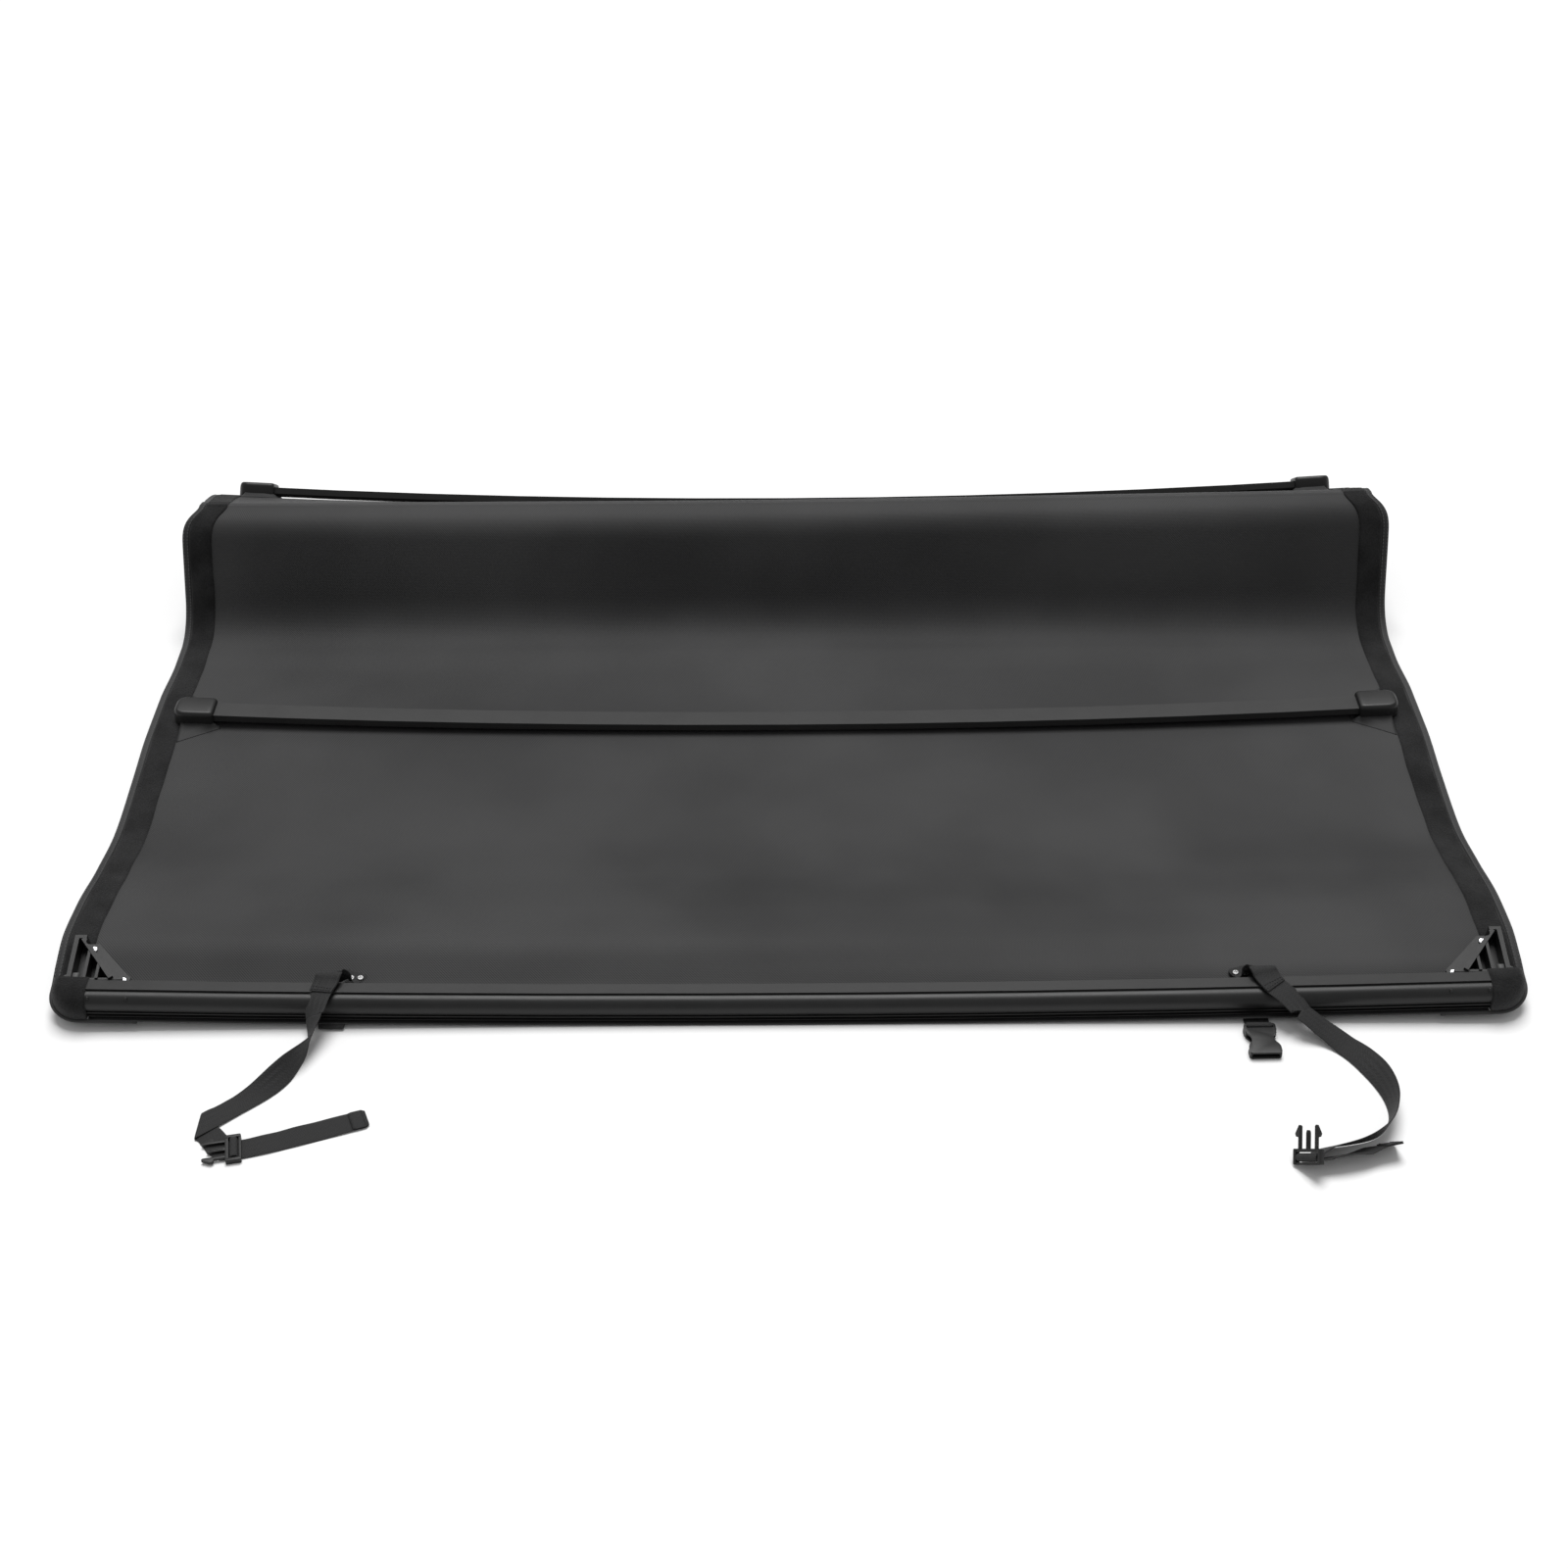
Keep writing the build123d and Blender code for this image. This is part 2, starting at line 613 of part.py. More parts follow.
def female_shell():
    """Flat socket with a waist, a mouth at its far end and a bar for the webbing."""
    half, waist = FEMALE_HALF, 12.0
    edge = [(0, half - 2), (2, half), (10, half), (19, waist), (27, waist), (35, half),
            (44, half), (FEMALE_LONG, half - 2)]
    outline = edge + [(x, -y) for x, y in reversed(edge)] + [edge[0]]
    body = extrude(make_face(Polyline(*outline)), amount=FEMALE_THICK)
    body -= Pos(5, 0, 0) * Box(3.8, 28.6, 40)
    socket = Pos(FEMALE_LONG - 15, 0, FEMALE_THICK / 2)
    body -= socket * Box(34, 19, 5.2)
    mouth = Pos(FEMALE_LONG, 0, FEMALE_THICK / 2) * Box(16, 29, 5.2)
    return body - mouth


def floor_place(x, y, heading, pitch=0.0, roll=0.0, lift_up=0.1):
    """Turned to its heading, then its prongs raised by pitch, then rolled about itself."""
    place = Pos(x, Y_FRONT + y, lift_up) * Rot(0, 0, heading)
    return place * Rot(0, -pitch, 0) * Rot(roll, 0, 0)


# The webbing bar of each buckle is at its own origin side; headings are of the prongs.
LEFT_MALE = floor_place(-570.6, -187.6, 191.0)
RIGHT_MALE = floor_place(520.0, -212.5, 85.0, pitch=42.0, roll=-52.0, lift_up=20.45)
LEFT_FEMALE = floor_place(-491.5, 48.0, 90.0)
RIGHT_FEMALE = floor_place(503.0, -14.5, -89.0)

prong_up = prong()
prong_down = mirror(prong_up, about=Plane.XZ)
for side, place in (("left", LEFT_MALE), ("right", RIGHT_MALE)):
    save(f"{side}_male_buckle", place * male_frame())
    save(f"{side}_prong_a", place * prong_up)
    save(f"{side}_prong_b", place * prong_down)
    for y in (PRONG_ROOT, -PRONG_ROOT):
        root = place * Pos(0.4, y, 3)
        print(side, "prong root", [round(v, 3) for v in root.position])
    pivot = place * Pos(-8.5, 0, 3)
    print(side, "male pivot", [round(v, 3) for v in pivot.position], "axis",
          [round(v, 4) for v in pivot.y_axis.direction], "up",
          [round(v, 4) for v in pivot.z_axis.direction])
for side, place in (("left", LEFT_FEMALE), ("right", RIGHT_FEMALE)):
    save(f"{side}_female_buckle", place * female_shell())
    pivot = place * Pos(1.3, 0, FEMALE_THICK / 2)
    print(side, "female pivot", [round(v, 3) for v in pivot.position], "axis",
          [round(v, 4) for v in pivot.y_axis.direction])


def latch_webbing(place, path):
    """Short webbing from under the rail's nose to a female buckle's bar."""
    x = place.position.X
    points = [(x, Y_FRONT + y, z) for y, z in path]
    return ribbon(points, [WEB_WIDE] * len(points), WEB_THICK)


# The left one comes out under the nose, folds and runs back beneath the rail.
save("left_latch_webbing", latch_webbing(LEFT_FEMALE, [
    (5, 5.0), (-8, 5.0), (-10.6, 4.3), (-11.6, 3.0), (-10.6, 1.7), (-8, 1.0),
    (40, 1.0), (46.6, 2.0),
]))
save("right_latch_webbing", latch_webbing(RIGHT_FEMALE, [
    (4, 1.0), (-4, 1.0), (-8, 1.2), (-11.7, 2.0),
]))

# ------------------------------------------------------------------ free straps
# Routes of the long straps on the floor, from the rail to the buckles and beyond.


def strap_tube(name, points):
    """A tube through a route: straight runs and tangent arcs as large as they allow."""
    route = [Vector(x, Y_FRONT + y, z) for x, y, z in points]
    radii = []
    for a, b, c in zip(route, route[1:], route[2:]):
        turn = (b - a).get_angle(c - b)
        shorter = min((b - a).length, (c - b).length)
        radii.append(0.45 * shorter / math.tan(math.radians(turn / 2)))
    path = FilletPolyline(*route, radius=radii)
    start = Plane(origin=route[0], z_dir=(route[1] - route[0]).normalized())
    solid = sweep(start * Circle(STRAP_TUBE / 2), path=path)
    area = math.pi * STRAP_TUBE ** 2 / 4
    print(name, "length", round(path.length, 1), "radii", [round(r, 1) for r in radii],
          "volume share", round(solid.volume / (area * path.length), 4))
    save(name, solid)


strap_tube("left_strap", [
    (-506.5, -11.0, 25.0), (-507.5, -28, 16), (-510, -45, 9), (-516, -62, 5),
    (-531, -85, STRAP_FLOOR), (-553, -106, 4), (-578, -128, STRAP_FLOOR), (-598.5, -146.5, 4),
    (-599, -158, STRAP_FLOOR), (-588, -165.5, STRAP_FLOOR), (-582, -168.5, STRAP_FLOOR),
])
strap_tube("left_strap_tail", [
    (-553.8, -184.3, STRAP_FLOOR), (-536, -179.5, STRAP_FLOOR), (-505, -168.5, 4),
    (-470, -155.5, STRAP_FLOOR), (-434, -141.5, STRAP_FLOOR),
])
strap_tube("right_strap", [
    (546.5, -12.6, 24.4), (562, -21, 15), (582, -34, 8), (603, -60, 4.2),
    (615, -92, STRAP_FLOOR), (621, -122, 4), (619.5, -148, STRAP_FLOOR), (610, -171, 4),
    (592, -187, STRAP_FLOOR), (566, -196, 4), (541, -200.5, STRAP_FLOOR),
])
strap_tube("right_strap_tail", [
    (541, -214.5, STRAP_FLOOR), (557, -212, STRAP_FLOOR), (573, -207.5, 4),
    (588, -200.5, STRAP_FLOOR), (614, -195.5, STRAP_FLOOR),
])
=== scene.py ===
import json
import math

import bmesh
import bpy
import numpy as np
from mathutils import Matrix, Vector

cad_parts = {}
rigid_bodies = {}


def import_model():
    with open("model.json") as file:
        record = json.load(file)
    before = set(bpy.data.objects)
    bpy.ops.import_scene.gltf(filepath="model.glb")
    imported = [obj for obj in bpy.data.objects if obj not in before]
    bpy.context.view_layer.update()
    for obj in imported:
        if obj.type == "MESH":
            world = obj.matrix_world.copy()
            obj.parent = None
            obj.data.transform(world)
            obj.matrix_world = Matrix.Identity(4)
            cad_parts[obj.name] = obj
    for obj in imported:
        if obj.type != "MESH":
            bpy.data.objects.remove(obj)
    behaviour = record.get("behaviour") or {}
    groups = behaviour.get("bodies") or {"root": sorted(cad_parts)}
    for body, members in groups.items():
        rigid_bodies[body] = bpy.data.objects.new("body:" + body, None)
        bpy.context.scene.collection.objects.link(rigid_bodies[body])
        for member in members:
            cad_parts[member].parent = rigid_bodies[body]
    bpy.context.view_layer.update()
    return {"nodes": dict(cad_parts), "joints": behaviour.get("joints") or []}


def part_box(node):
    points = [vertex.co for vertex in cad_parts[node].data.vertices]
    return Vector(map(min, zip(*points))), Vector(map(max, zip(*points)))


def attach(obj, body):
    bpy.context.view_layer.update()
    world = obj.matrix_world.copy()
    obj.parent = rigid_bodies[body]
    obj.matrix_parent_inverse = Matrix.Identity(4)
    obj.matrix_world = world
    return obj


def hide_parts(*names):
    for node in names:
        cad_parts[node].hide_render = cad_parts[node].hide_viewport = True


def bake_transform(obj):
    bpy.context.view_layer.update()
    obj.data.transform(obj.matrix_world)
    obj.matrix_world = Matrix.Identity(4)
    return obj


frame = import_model()
NODES = frame["nodes"]
JOINTS = {joint["name"]: joint for joint in frame["joints"]}

# Everything is in metres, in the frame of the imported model: +X across the cover,
# +Y from the header to the fold, +Z up. The cover lies underside up.

# ------------------------------------------------------------------ sizes and places
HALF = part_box("front_sheet")[1].x
RIDGE_SET_BACK = 0.0006
Y_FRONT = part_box("header_rail")[0].y - RIDGE_SET_BACK
STRIP_IN, STRIP_OUT = (corner.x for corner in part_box("front_loop_strip_right"))
RAIL_HALF, RAIL_CROWN = 0.765, 0.012
BOW_1_AT = 0.553
WEB_WIDE, WEB_THICK = 0.027, 0.0014

FOLD_RADII = {
    "valley_fold": 0.070,
    "crest_fold": 0.046,
    "rear_fold": 0.01578,
    "tail_lift_fold": 0.015,
    "tail_end_fold": 0.015,
}
# The folds in order along the sheet, and whether each turns it up or down
FOLD_ORDER = [("valley_fold", 1), ("crest_fold", -1), ("rear_fold", -1),
              ("tail_lift_fold", -1), ("tail_end_fold", -1)]
TAIL_END_RUN = 0.156
# Front panel: distance from the header's front, height of the middle, rise of the edges
FRONT_STATIONS = [
    (0.031, 0.008, 0.012), (0.070, 0.018, 0.012), (0.110, 0.025, 0.012),
    (0.160, 0.023, 0.0115), (0.245, 0.009, 0.009), (0.330, 0.001, 0.006),
    (0.430, 0.001, 0.013), (0.513, 0.001, 0.020), (0.593, 0.001, 0.020),
    (0.670, 0.006, 0.008), (0.718, 0.014, 0.0),
]
# Top panel, along itself from the crest: how far its edges rise
TOP_EDGES = [(0.0, 0.0), (0.060, 0.008), (0.136, 0.020), (0.188, 0.020), (0.20399, 0.0)]
BOW_2_RUN = 0.166

# ---------------------------------------------------------------------------- camera
CAMERA_AHEAD, CAMERA_HIGH, CAMERA_X = 1.851, 1.69, -0.0034
CAMERA_PITCH, CAMERA_ROLL = 36.5, -0.35
LENS = 53.15


def add_object(name, data):
    obj = bpy.data.objects.new(name, data)
    bpy.context.scene.collection.objects.link(obj)
    return obj


camera_data = bpy.data.cameras.new("camera")
camera_data.lens = LENS
camera = add_object("camera", camera_data)
camera.rotation_mode = "XYZ"
camera.location = (CAMERA_X, Y_FRONT - CAMERA_AHEAD, CAMERA_HIGH)
camera.rotation_euler = (math.radians(90 - CAMERA_PITCH), 0, 0)
camera.rotation_euler.rotate_axis("Z", math.radians(CAMERA_ROLL))
bpy.context.scene.camera = camera
bpy.context.scene.view_settings.view_transform = "Standard"

# ------------------------------------------------------------------------- materials


class Finish:
    """A material in the making: its nodes, and the shader that they feed."""

    def __init__(self, name):
        self.material = bpy.data.materials.new(name)
        self.material.use_nodes = True
        self.tree = self.material.node_tree

    def feed(self, node, inputs):
        """Sets a node's inputs, each to a number or to another node's output."""
        for key, value in inputs.items():
            if isinstance(value, bpy.types.NodeSocket):
                self.tree.links.new(value, node.inputs[key])
            else:
                node.inputs[key].default_value = value

    def node(self, kind, inputs, **settings):
        node = self.tree.nodes.new("ShaderNode" + kind)
        for key, value in settings.items():
            setattr(node, key, value)
        self.feed(node, inputs)
        return node

    def place(self, kind):
        return self.node("TexCoord", {}).outputs[kind]

    def math(self, operation, first, second=0.0):
        return self.node("Math", {0: first, 1: second}, operation=operation).outputs[0]

    def noise(self, vector, scale, detail=3.0, roughness=0.55):
        inputs = {"Vector": vector, "Scale": scale, "Detail": detail, "Roughness": roughness}
        return self.node("TexNoise", inputs).outputs["Fac"]

    def ramp(self, factor, low, high, span=(0.0, 1.0)):
        """A smooth change between two grey levels or colours, over a span of the factor."""
        node = self.node("ValToRGB", {"Fac": factor})
        node.color_ramp.interpolation = "EASE"
        for element, level, place in zip(node.color_ramp.elements, (low, high), span):
            element.position = place
            element.color = (*level, 1) if isinstance(level, tuple) else (level, level, level, 1)
        return node.outputs["Color"]

    def bump(self, height, strength, distance, **under):
        """A bump, over another one where under has its Normal."""
        inputs = {"Height": height, "Strength": strength, "Distance": distance, **under}
        return self.node("Bump", inputs).outputs["Normal"]

    def made(self, inputs):
        """Feeds the shader, and gives the finished material."""
        self.feed(self.tree.nodes["Principled BSDF"], inputs)
        return self.material


def vinyl_material():
    """Fine twill-backed vinyl: diagonal ribs, soft blotches, satin."""
    finish = Finish("vinyl_twill")
    uv = finish.place("UV")
    x, y, _ = finish.node("SeparateXYZ", {0: uv}).outputs
    rib_turns = 2 * math.pi / 0.0030
    rib = finish.math("SINE", finish.math("MULTIPLY", finish.math("ADD", x, y), rib_turns))
    weft = finish.math("SINE", finish.math("MULTIPLY", y, rib_turns * 1.6))
    weave = finish.math("ADD", rib, finish.math("MULTIPLY", weft, 0.35))
    blotch = finish.noise(uv, 2.8, 3.0, 0.5)
    grain = finish.noise(uv, 900.0, 2.0)
    colour = finish.ramp(blotch, (0.023, 0.023, 0.0235), (0.042, 0.042, 0.0425), (0.32, 0.68))
    fibre = finish.math("ADD", finish.math("MULTIPLY", weave, 0.20), 1.0)
    woven = finish.node("VectorMath", {}, operation="SCALE")
    finish.feed(woven, {0: colour, "Scale": fibre})
    return finish.made({
        "Base Color": woven.outputs[0],
        "Roughness": finish.ramp(blotch, 0.52, 0.64),
        "Specular IOR Level": 0.22,
        "Normal": finish.bump(grain, 0.25, 0.0003, Normal=finish.bump(weave, 0.35, 0.0003)),
    })


def pile_material():
    """Napped loop pile: nearly black, speckled by its loops, with a faint velvety rim."""
    finish = Finish("loop_pile")
    place = finish.place("Object")
    loops = finish.noise(place, 520.0, 3.0, 0.7)
    mixed = finish.math("MULTIPLY", loops, finish.noise(place, 24.0, 2.0))
    colour = finish.ramp(finish.math("MULTIPLY", mixed, 2.2), 0.004, (0.022, 0.022, 0.0225))
    return finish.made({
        "Base Color": colour, "Roughness": 0.95, "Specular IOR Level": 0.12, "Sheen Weight": 0.10,
        "Sheen Roughness": 0.5, "Normal": finish.bump(loops, 0.9, 0.0012),
    })


def webbing_material():
    """Herringbone webbing, its ribs from the strap's own length and width."""
    finish = Finish("webbing_herringbone")
    uv = finish.place("UV")
    across, along, _ = finish.node("SeparateXYZ", {0: uv}).outputs
    zigzag = finish.math("PINGPONG", across, 0.0034)
    slanted = finish.math("ADD", zigzag, finish.math("MULTIPLY", along, 0.7))
    rib = finish.math("SINE", finish.math("MULTIPLY", slanted, 2 * math.pi / 0.0017))
    fuzz = finish.noise(uv, 1400.0, 2.0)
    tone = finish.math("ADD", finish.math("MULTIPLY", rib, 0.32), fuzz)
    return finish.made({
        "Base Color": finish.ramp(tone, (0.008, 0.008, 0.0082), (0.034, 0.034, 0.0345)),
        "Roughness": 0.66, "Specular IOR Level": 0.25, "Sheen Weight": 0.05,
        "Normal": finish.bump(fuzz, 0.3, 0.0003, Normal=finish.bump(rib, 0.5, 0.0004)),
    })


def moulded_material(name, low, high, roughness, grain_scale, grain, metallic=0.0):
    """Moulded or coated surface: fine texture, slight mottling and worn gloss."""
    finish = Finish(name)
    place = finish.place("Object")
    mottle = finish.noise(place, 18.0, 5.0, 0.65)
    return finish.made({
        "Base Color": finish.ramp(mottle, low, high),
        "Roughness": finish.ramp(mottle, roughness - 0.05, roughness + 0.07),
        "Metallic": metallic, "Specular IOR Level": 0.30,
        "Normal": finish.bump(finish.noise(place, grain_scale, 2.0), grain, 0.0003),
    })


VINYL = vinyl_material()
PILE = pile_material()
WEBBING = webbing_material()
PLASTIC = moulded_material("moulded_plastic", 0.009, 0.017, 0.40, 1300.0, 0.30)
PAINT = moulded_material("rail_powder_coat", 0.010, 0.016, 0.38, 1700.0, 0.22)
BOW_PAINT = moulded_material("bow_powder_coat", 0.020, 0.028, 0.42, 1700.0, 0.22)
STEEL = moulded_material("zinc_steel", (0.62, 0.62, 0.64), (0.80, 0.80, 0.82), 0.24, 800.0, 0.12, 1.0)
# The zinc steel again, darker for the anchor screws: the darkness is painted shade.
PAINTED_SHADE_STEEL = moulded_material("steel_with_painted_shade", 0.10, 0.22, 0.34, 800.0, 0.15, 1.0)
RUBBER = moulded_material("seal_rubber", 0.010, 0.018, 0.70, 900.0, 0.40)
THREAD = moulded_material("sewing_thread", 0.10, 0.15, 0.55, 2500.0, 0.40)
DARK_THREAD = moulded_material("dark_thread", 0.012, 0.020, 0.5, 2500.0, 0.4)
TAB_VINYL = moulded_material("tab_vinyl", 0.075, 0.095, 0.50, 1100.0, 0.30)


def dress(obj, material):
    """Gives an object one material."""
    obj.data.materials.clear()
    obj.data.materials.append(material)


def fit(obj, material, slot, body, *replaced):
    """Gives a piece its finish, the body it rides and the CAD nodes that it stands for."""
    dress(obj, material)
    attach(obj, body)
    if replaced:
        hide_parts(*replaced)
    return obj


# ----------------------------------------------------------------------- mesh helpers


def add_mesh(name, vertices, faces, uvs=None, sharp=()):
    """A smooth mesh object. uvs has one pair for each corner of each face."""
    mesh = bpy.data.meshes.new(name)
    mesh.from_pydata([tuple(v) for v in vertices], [], faces)
    if uvs is not None:
        layer = mesh.uv_layers.new(name="metres")
        layer.data.foreach_set("uv", np.asarray(uvs, np.float32).ravel())
    mesh.polygons.foreach_set("use_smooth", [True] * len(mesh.polygons))
    if sharp:
        wanted = {tuple(sorted(pair)) for pair in sharp}
        for edge in mesh.edges:
            edge.use_edge_sharp = tuple(sorted(edge.vertices)) in wanted
    mesh.update()
    return add_object(name, mesh)


def add_plate(name, upper, lower, u, v):
    """A closed sheet between two grids of points, rows by columns, with UVs in metres."""
    rows, columns = upper.shape[:2]
    count = rows * columns
    vertices = np.concatenate([upper.reshape(-1, 3), lower.reshape(-1, 3)])
    faces, uvs = [], []

    def face(corners):
        faces.append([index for index, _, _ in corners])
        uvs.extend([(u[c], v[r]) for _, r, c in corners])

    def at(r, c, low=False):
        return (r * columns + c + (count if low else 0), r, c)

    for r in range(rows - 1):
        for c in range(columns - 1):
            face([at(r, c), at(r, c + 1), at(r + 1, c + 1), at(r + 1, c)])
            face([at(r + 1, c, True), at(r + 1, c + 1, True), at(r, c + 1, True), at(r, c, True)])
        for c, flip in ((0, 1), (columns - 1, -1)):
            face([at(r, c), at(r + 1, c), at(r + 1, c, True), at(r, c, True)][::flip])
    sharp = []
    for r, flip in ((0, -1), (rows - 1, 1)):
        for c in range(columns - 1):
            face([at(r, c), at(r, c + 1), at(r, c + 1, True), at(r, c, True)][::flip])
            for low in (False, True):
                sharp.append((at(r, c, low)[0], at(r, c + 1, low)[0]))
    return add_mesh(name, vertices, faces, uvs, sharp)


def add_tube(name, rings, uvs=None):
    """A closed solid through rings of points, each ring the same number of points."""
    rings = np.asarray(rings)
    rows, columns = rings.shape[:2]
    faces, corners = [], []
    for r in range(rows - 1):
        for c in range(columns):
            n = (c + 1) % columns
            faces.append([r * columns + c, r * columns + n, (r + 1) * columns + n, (r + 1) * columns + c])
            if uvs is not None:
                corners.extend([uvs[r, c], uvs[r, c + 1], uvs[r + 1, c + 1], uvs[r + 1, c]])
    last = (rows - 1) * columns
    faces.append(list(range(columns))[::-1])
    faces.append([last + c for c in range(columns)])
    if uvs is not None:
        corners.extend([uvs[0, c] for c in range(columns)][::-1])
        corners.extend([uvs[-1, c] for c in range(columns)])
    return add_mesh(name, rings.reshape(-1, 3), faces, corners if uvs is not None else None)


def add_beads(name, rings):
    """Small closed beads: rings holds beads by rings of four points."""
    rings = np.asarray(rings)
    size = 4 * rings.shape[1]
    faces = []
    for first in range(0, size * len(rings), size):
        for a in range(first, first + size - 4):
            b = a + 1 if a % 4 < 3 else a - 3
            faces.append([a, b, b + 4, a + 4])
        faces += [[first + k for k in (3, 2, 1, 0)], [first + size - 4 + k for k in range(4)]]
    return add_mesh(name, rings.reshape(-1, 3), faces)


def curve_mesh(curve):
    """The mesh that a curve makes; the curve itself is removed."""
    holder = add_object(curve.name, curve)
    bpy.context.view_layer.update()
    mesh = bpy.data.meshes.new_from_object(holder)
    bpy.data.objects.remove(holder)
    bpy.data.curves.remove(curve)
    return mesh


def smooth_step(value, low, high):
    share = np.clip((np.asarray(value, float) - low) / (high - low), 0, 1)
    return share * share * (3 - 2 * share)


def hill(value, middle, width):
    return np.exp(-0.5 * ((np.asarray(value, float) - middle) / width) ** 2)


def smooth_line(points, at):
    """Values of a smooth curve through (position, value) points: cubic, without overshoot."""
    xs, ys = np.array(points, float).T
    steps, slopes = np.diff(xs), np.diff(ys) / np.diff(xs)
    tangents = np.zeros(len(xs))
    for i in range(1, len(xs) - 1):
        if slopes[i - 1] * slopes[i] > 0:
            tangents[i] = 2 / (1 / slopes[i - 1] + 1 / slopes[i])
    at = np.clip(at, xs[0], xs[-1])
    i = np.clip(np.searchsorted(xs, at) - 1, 0, len(xs) - 2)
    t = (at - xs[i]) / steps[i]
    h00, h10 = 2 * t ** 3 - 3 * t ** 2 + 1, t ** 3 - 2 * t ** 2 + t
    h01, h11 = -2 * t ** 3 + 3 * t ** 2, t ** 3 - t ** 2
    return h00 * ys[i] + h10 * steps[i] * tangents[i] + h01 * ys[i + 1] + h11 * steps[i] * tangents[i + 1]


# --------------------------------------------------------------- the sheet's long line


class Fold:
    """A fold of the sheet, from its joint: the line's start, end and headings."""

    def __init__(self, joint, side, heading):
        self.radius = FOLD_RADII[joint]
        self.turn = side * math.radians(JOINTS[joint]["range_deg"][1])
        self.joint, self.side, self.heading = joint, side, heading
        self.bodies = JOINTS[joint]["parent"], JOINTS[joint]["child"]
        axis = np.array(JOINTS[joint]["pos_m"][1:])
        middle = heading + self.turn / 2
        self.centre = axis + self.radius * side * np.array([-math.sin(middle), math.cos(middle)])
        self.start, self.end = self.point(0.0), self.point(1.0)
        self.out = heading + self.turn
        self.length = self.radius * abs(self.turn)

    def point(self, share):
        angle = self.heading + self.turn * share
        return self.centre + self.radius * self.side * np.array([math.sin(angle), -math.cos(angle)])


class Line:
    """The middle of the sheet from the header to the tail edge, sampled every half millimetre."""

    STEP = 0.0005

    def __init__(self):
        self.folds = []
        heading = 0.0
        for joint, side in FOLD_ORDER:
            fold = Fold(joint, side, heading)
            self.folds.append(fold)
            heading = fold.out
        points, headings, crowns = self.front()
        for i, fold in enumerate(self.folds):
            fold.s = self.STEP * (len(points) - 1)
            count = max(2, round(fold.length / self.STEP))
            for k in range(1, count + 1):
                points.append(fold.point(k / count))
                headings.append(fold.heading + fold.turn * k / count)
                crowns.append(0.0)
            fold.s_end = self.STEP * (len(points) - 1)
            after = self.folds[i + 1].start if i + 1 < len(self.folds) else (
                fold.end + TAIL_END_RUN * np.array([math.cos(fold.out), math.sin(fold.out)]))
            run = float(np.linalg.norm(after - fold.end))
            count = max(2, round(run / self.STEP))
            for k in range(1, count + 1):
                points.append(fold.end + (after - fold.end) * k / count)
                headings.append(fold.out)
                is_top = fold.joint == "crest_fold"
                crowns.append(float(smooth_line(TOP_EDGES, np.array(run * k / count))) if is_top else 0.0)
        self.points, self.headings, self.crowns = map(np.array, (points, headings, crowns))
        self.length = self.STEP * (len(points) - 1)
        self.grid = np.arange(len(points)) * self.STEP

    def front(self):
        """The front panel, from just behind the header to the valley."""
        first, last = FRONT_STATIONS[0][0], FRONT_STATIONS[-1][0]
        count = round((last - first) / self.STEP)
        at = np.linspace(first, last, count + 1)
        z = smooth_line([(d, h) for d, h, _ in FRONT_STATIONS], at)
        crowns = smooth_line([(d, e) for d, _, e in FRONT_STATIONS], at)
        headings = np.arctan(np.gradient(z, at))
        points = [np.array([Y_FRONT + d, h]) for d, h in zip(at, z)]
        return points, list(headings), list(crowns)

    def at(self, s):
        """Middle point, normal and edge rise at distances along the sheet."""
        y = np.interp(s, self.grid, self.points[:, 0])
        z = np.interp(s, self.grid, self.points[:, 1])
        heading = np.interp(s, self.grid, self.headings)
        crown = np.interp(s, self.grid, self.crowns)
        return y, z, -np.sin(heading), np.cos(heading), crown


def from_front(distance):
    """Distance along the sheet of a place that far behind the header's front."""
    return distance - FRONT_STATIONS[0][0]


LINE = Line()
VALLEY, CREST = LINE.folds[:2]
CREST_TOP = CREST.s + 0.70 * (CREST.s_end - CREST.s)


def soft_shape(x, s):
    """Height of the sheet's own softness over its plain shape, and how far it is lifted."""
    across = x / HALF
    front = s - from_front(0.0)
    # Behind the header the sheet stands up on the right and drops into a pocket on the left.
    right = smooth_step(across, -0.35, 0.55)
    near = hill(front, 0.055, 0.020) * (1 - smooth_step(np.abs(across), 0.90, 0.97))
    height = near * (-0.0055 + 0.010 * right)
    height += hill(front, 0.112, 0.030) * 0.003 * (1 - right)
    # Slow waves, calm under the bows, the brackets and at the folds
    calm = 1 - hill(front, BOW_1_AT, 0.055)
    calm = calm * smooth_step(front, 0.07, 0.15) * (1 - smooth_step(s, VALLEY.s_end, CREST.s))
    waves = (
        np.sin(6.1 * x + 9.0 * s + 0.4) * np.sin(13.0 * s - 2.2 * x + 1.1)
        + 0.6 * np.sin(11.3 * x - 15.0 * s + 2.0)
        + 0.35 * np.sin(23.0 * x + 19.0 * s + 0.7) * np.sin(31.0 * s - 9.0 * x)
    )
    height += 0.0008 * calm * waves
    # The crest stands a little higher on the right and sags a little in its middle.
    lifted = smooth_step(s, VALLEY.s_end - 0.03, CREST.s + 0.01)
    lifted = lifted * (1 - smooth_step(s, CREST.s_end + 0.01, CREST.s_end + 0.11))
    to_right = (across + np.sqrt(across ** 2 + 0.04)) / 2
    lift = lifted * (0.0018 + 0.0104 * to_right - 0.0014 * (1 - across ** 2))
    # A crease along the top of the crest, from lying folded
    height += 0.0011 * hill(s, CREST_TOP, 0.0022)
    height -= 0.0007 * hill(s, CREST_TOP - 0.013, 0.006)
    return height, lift


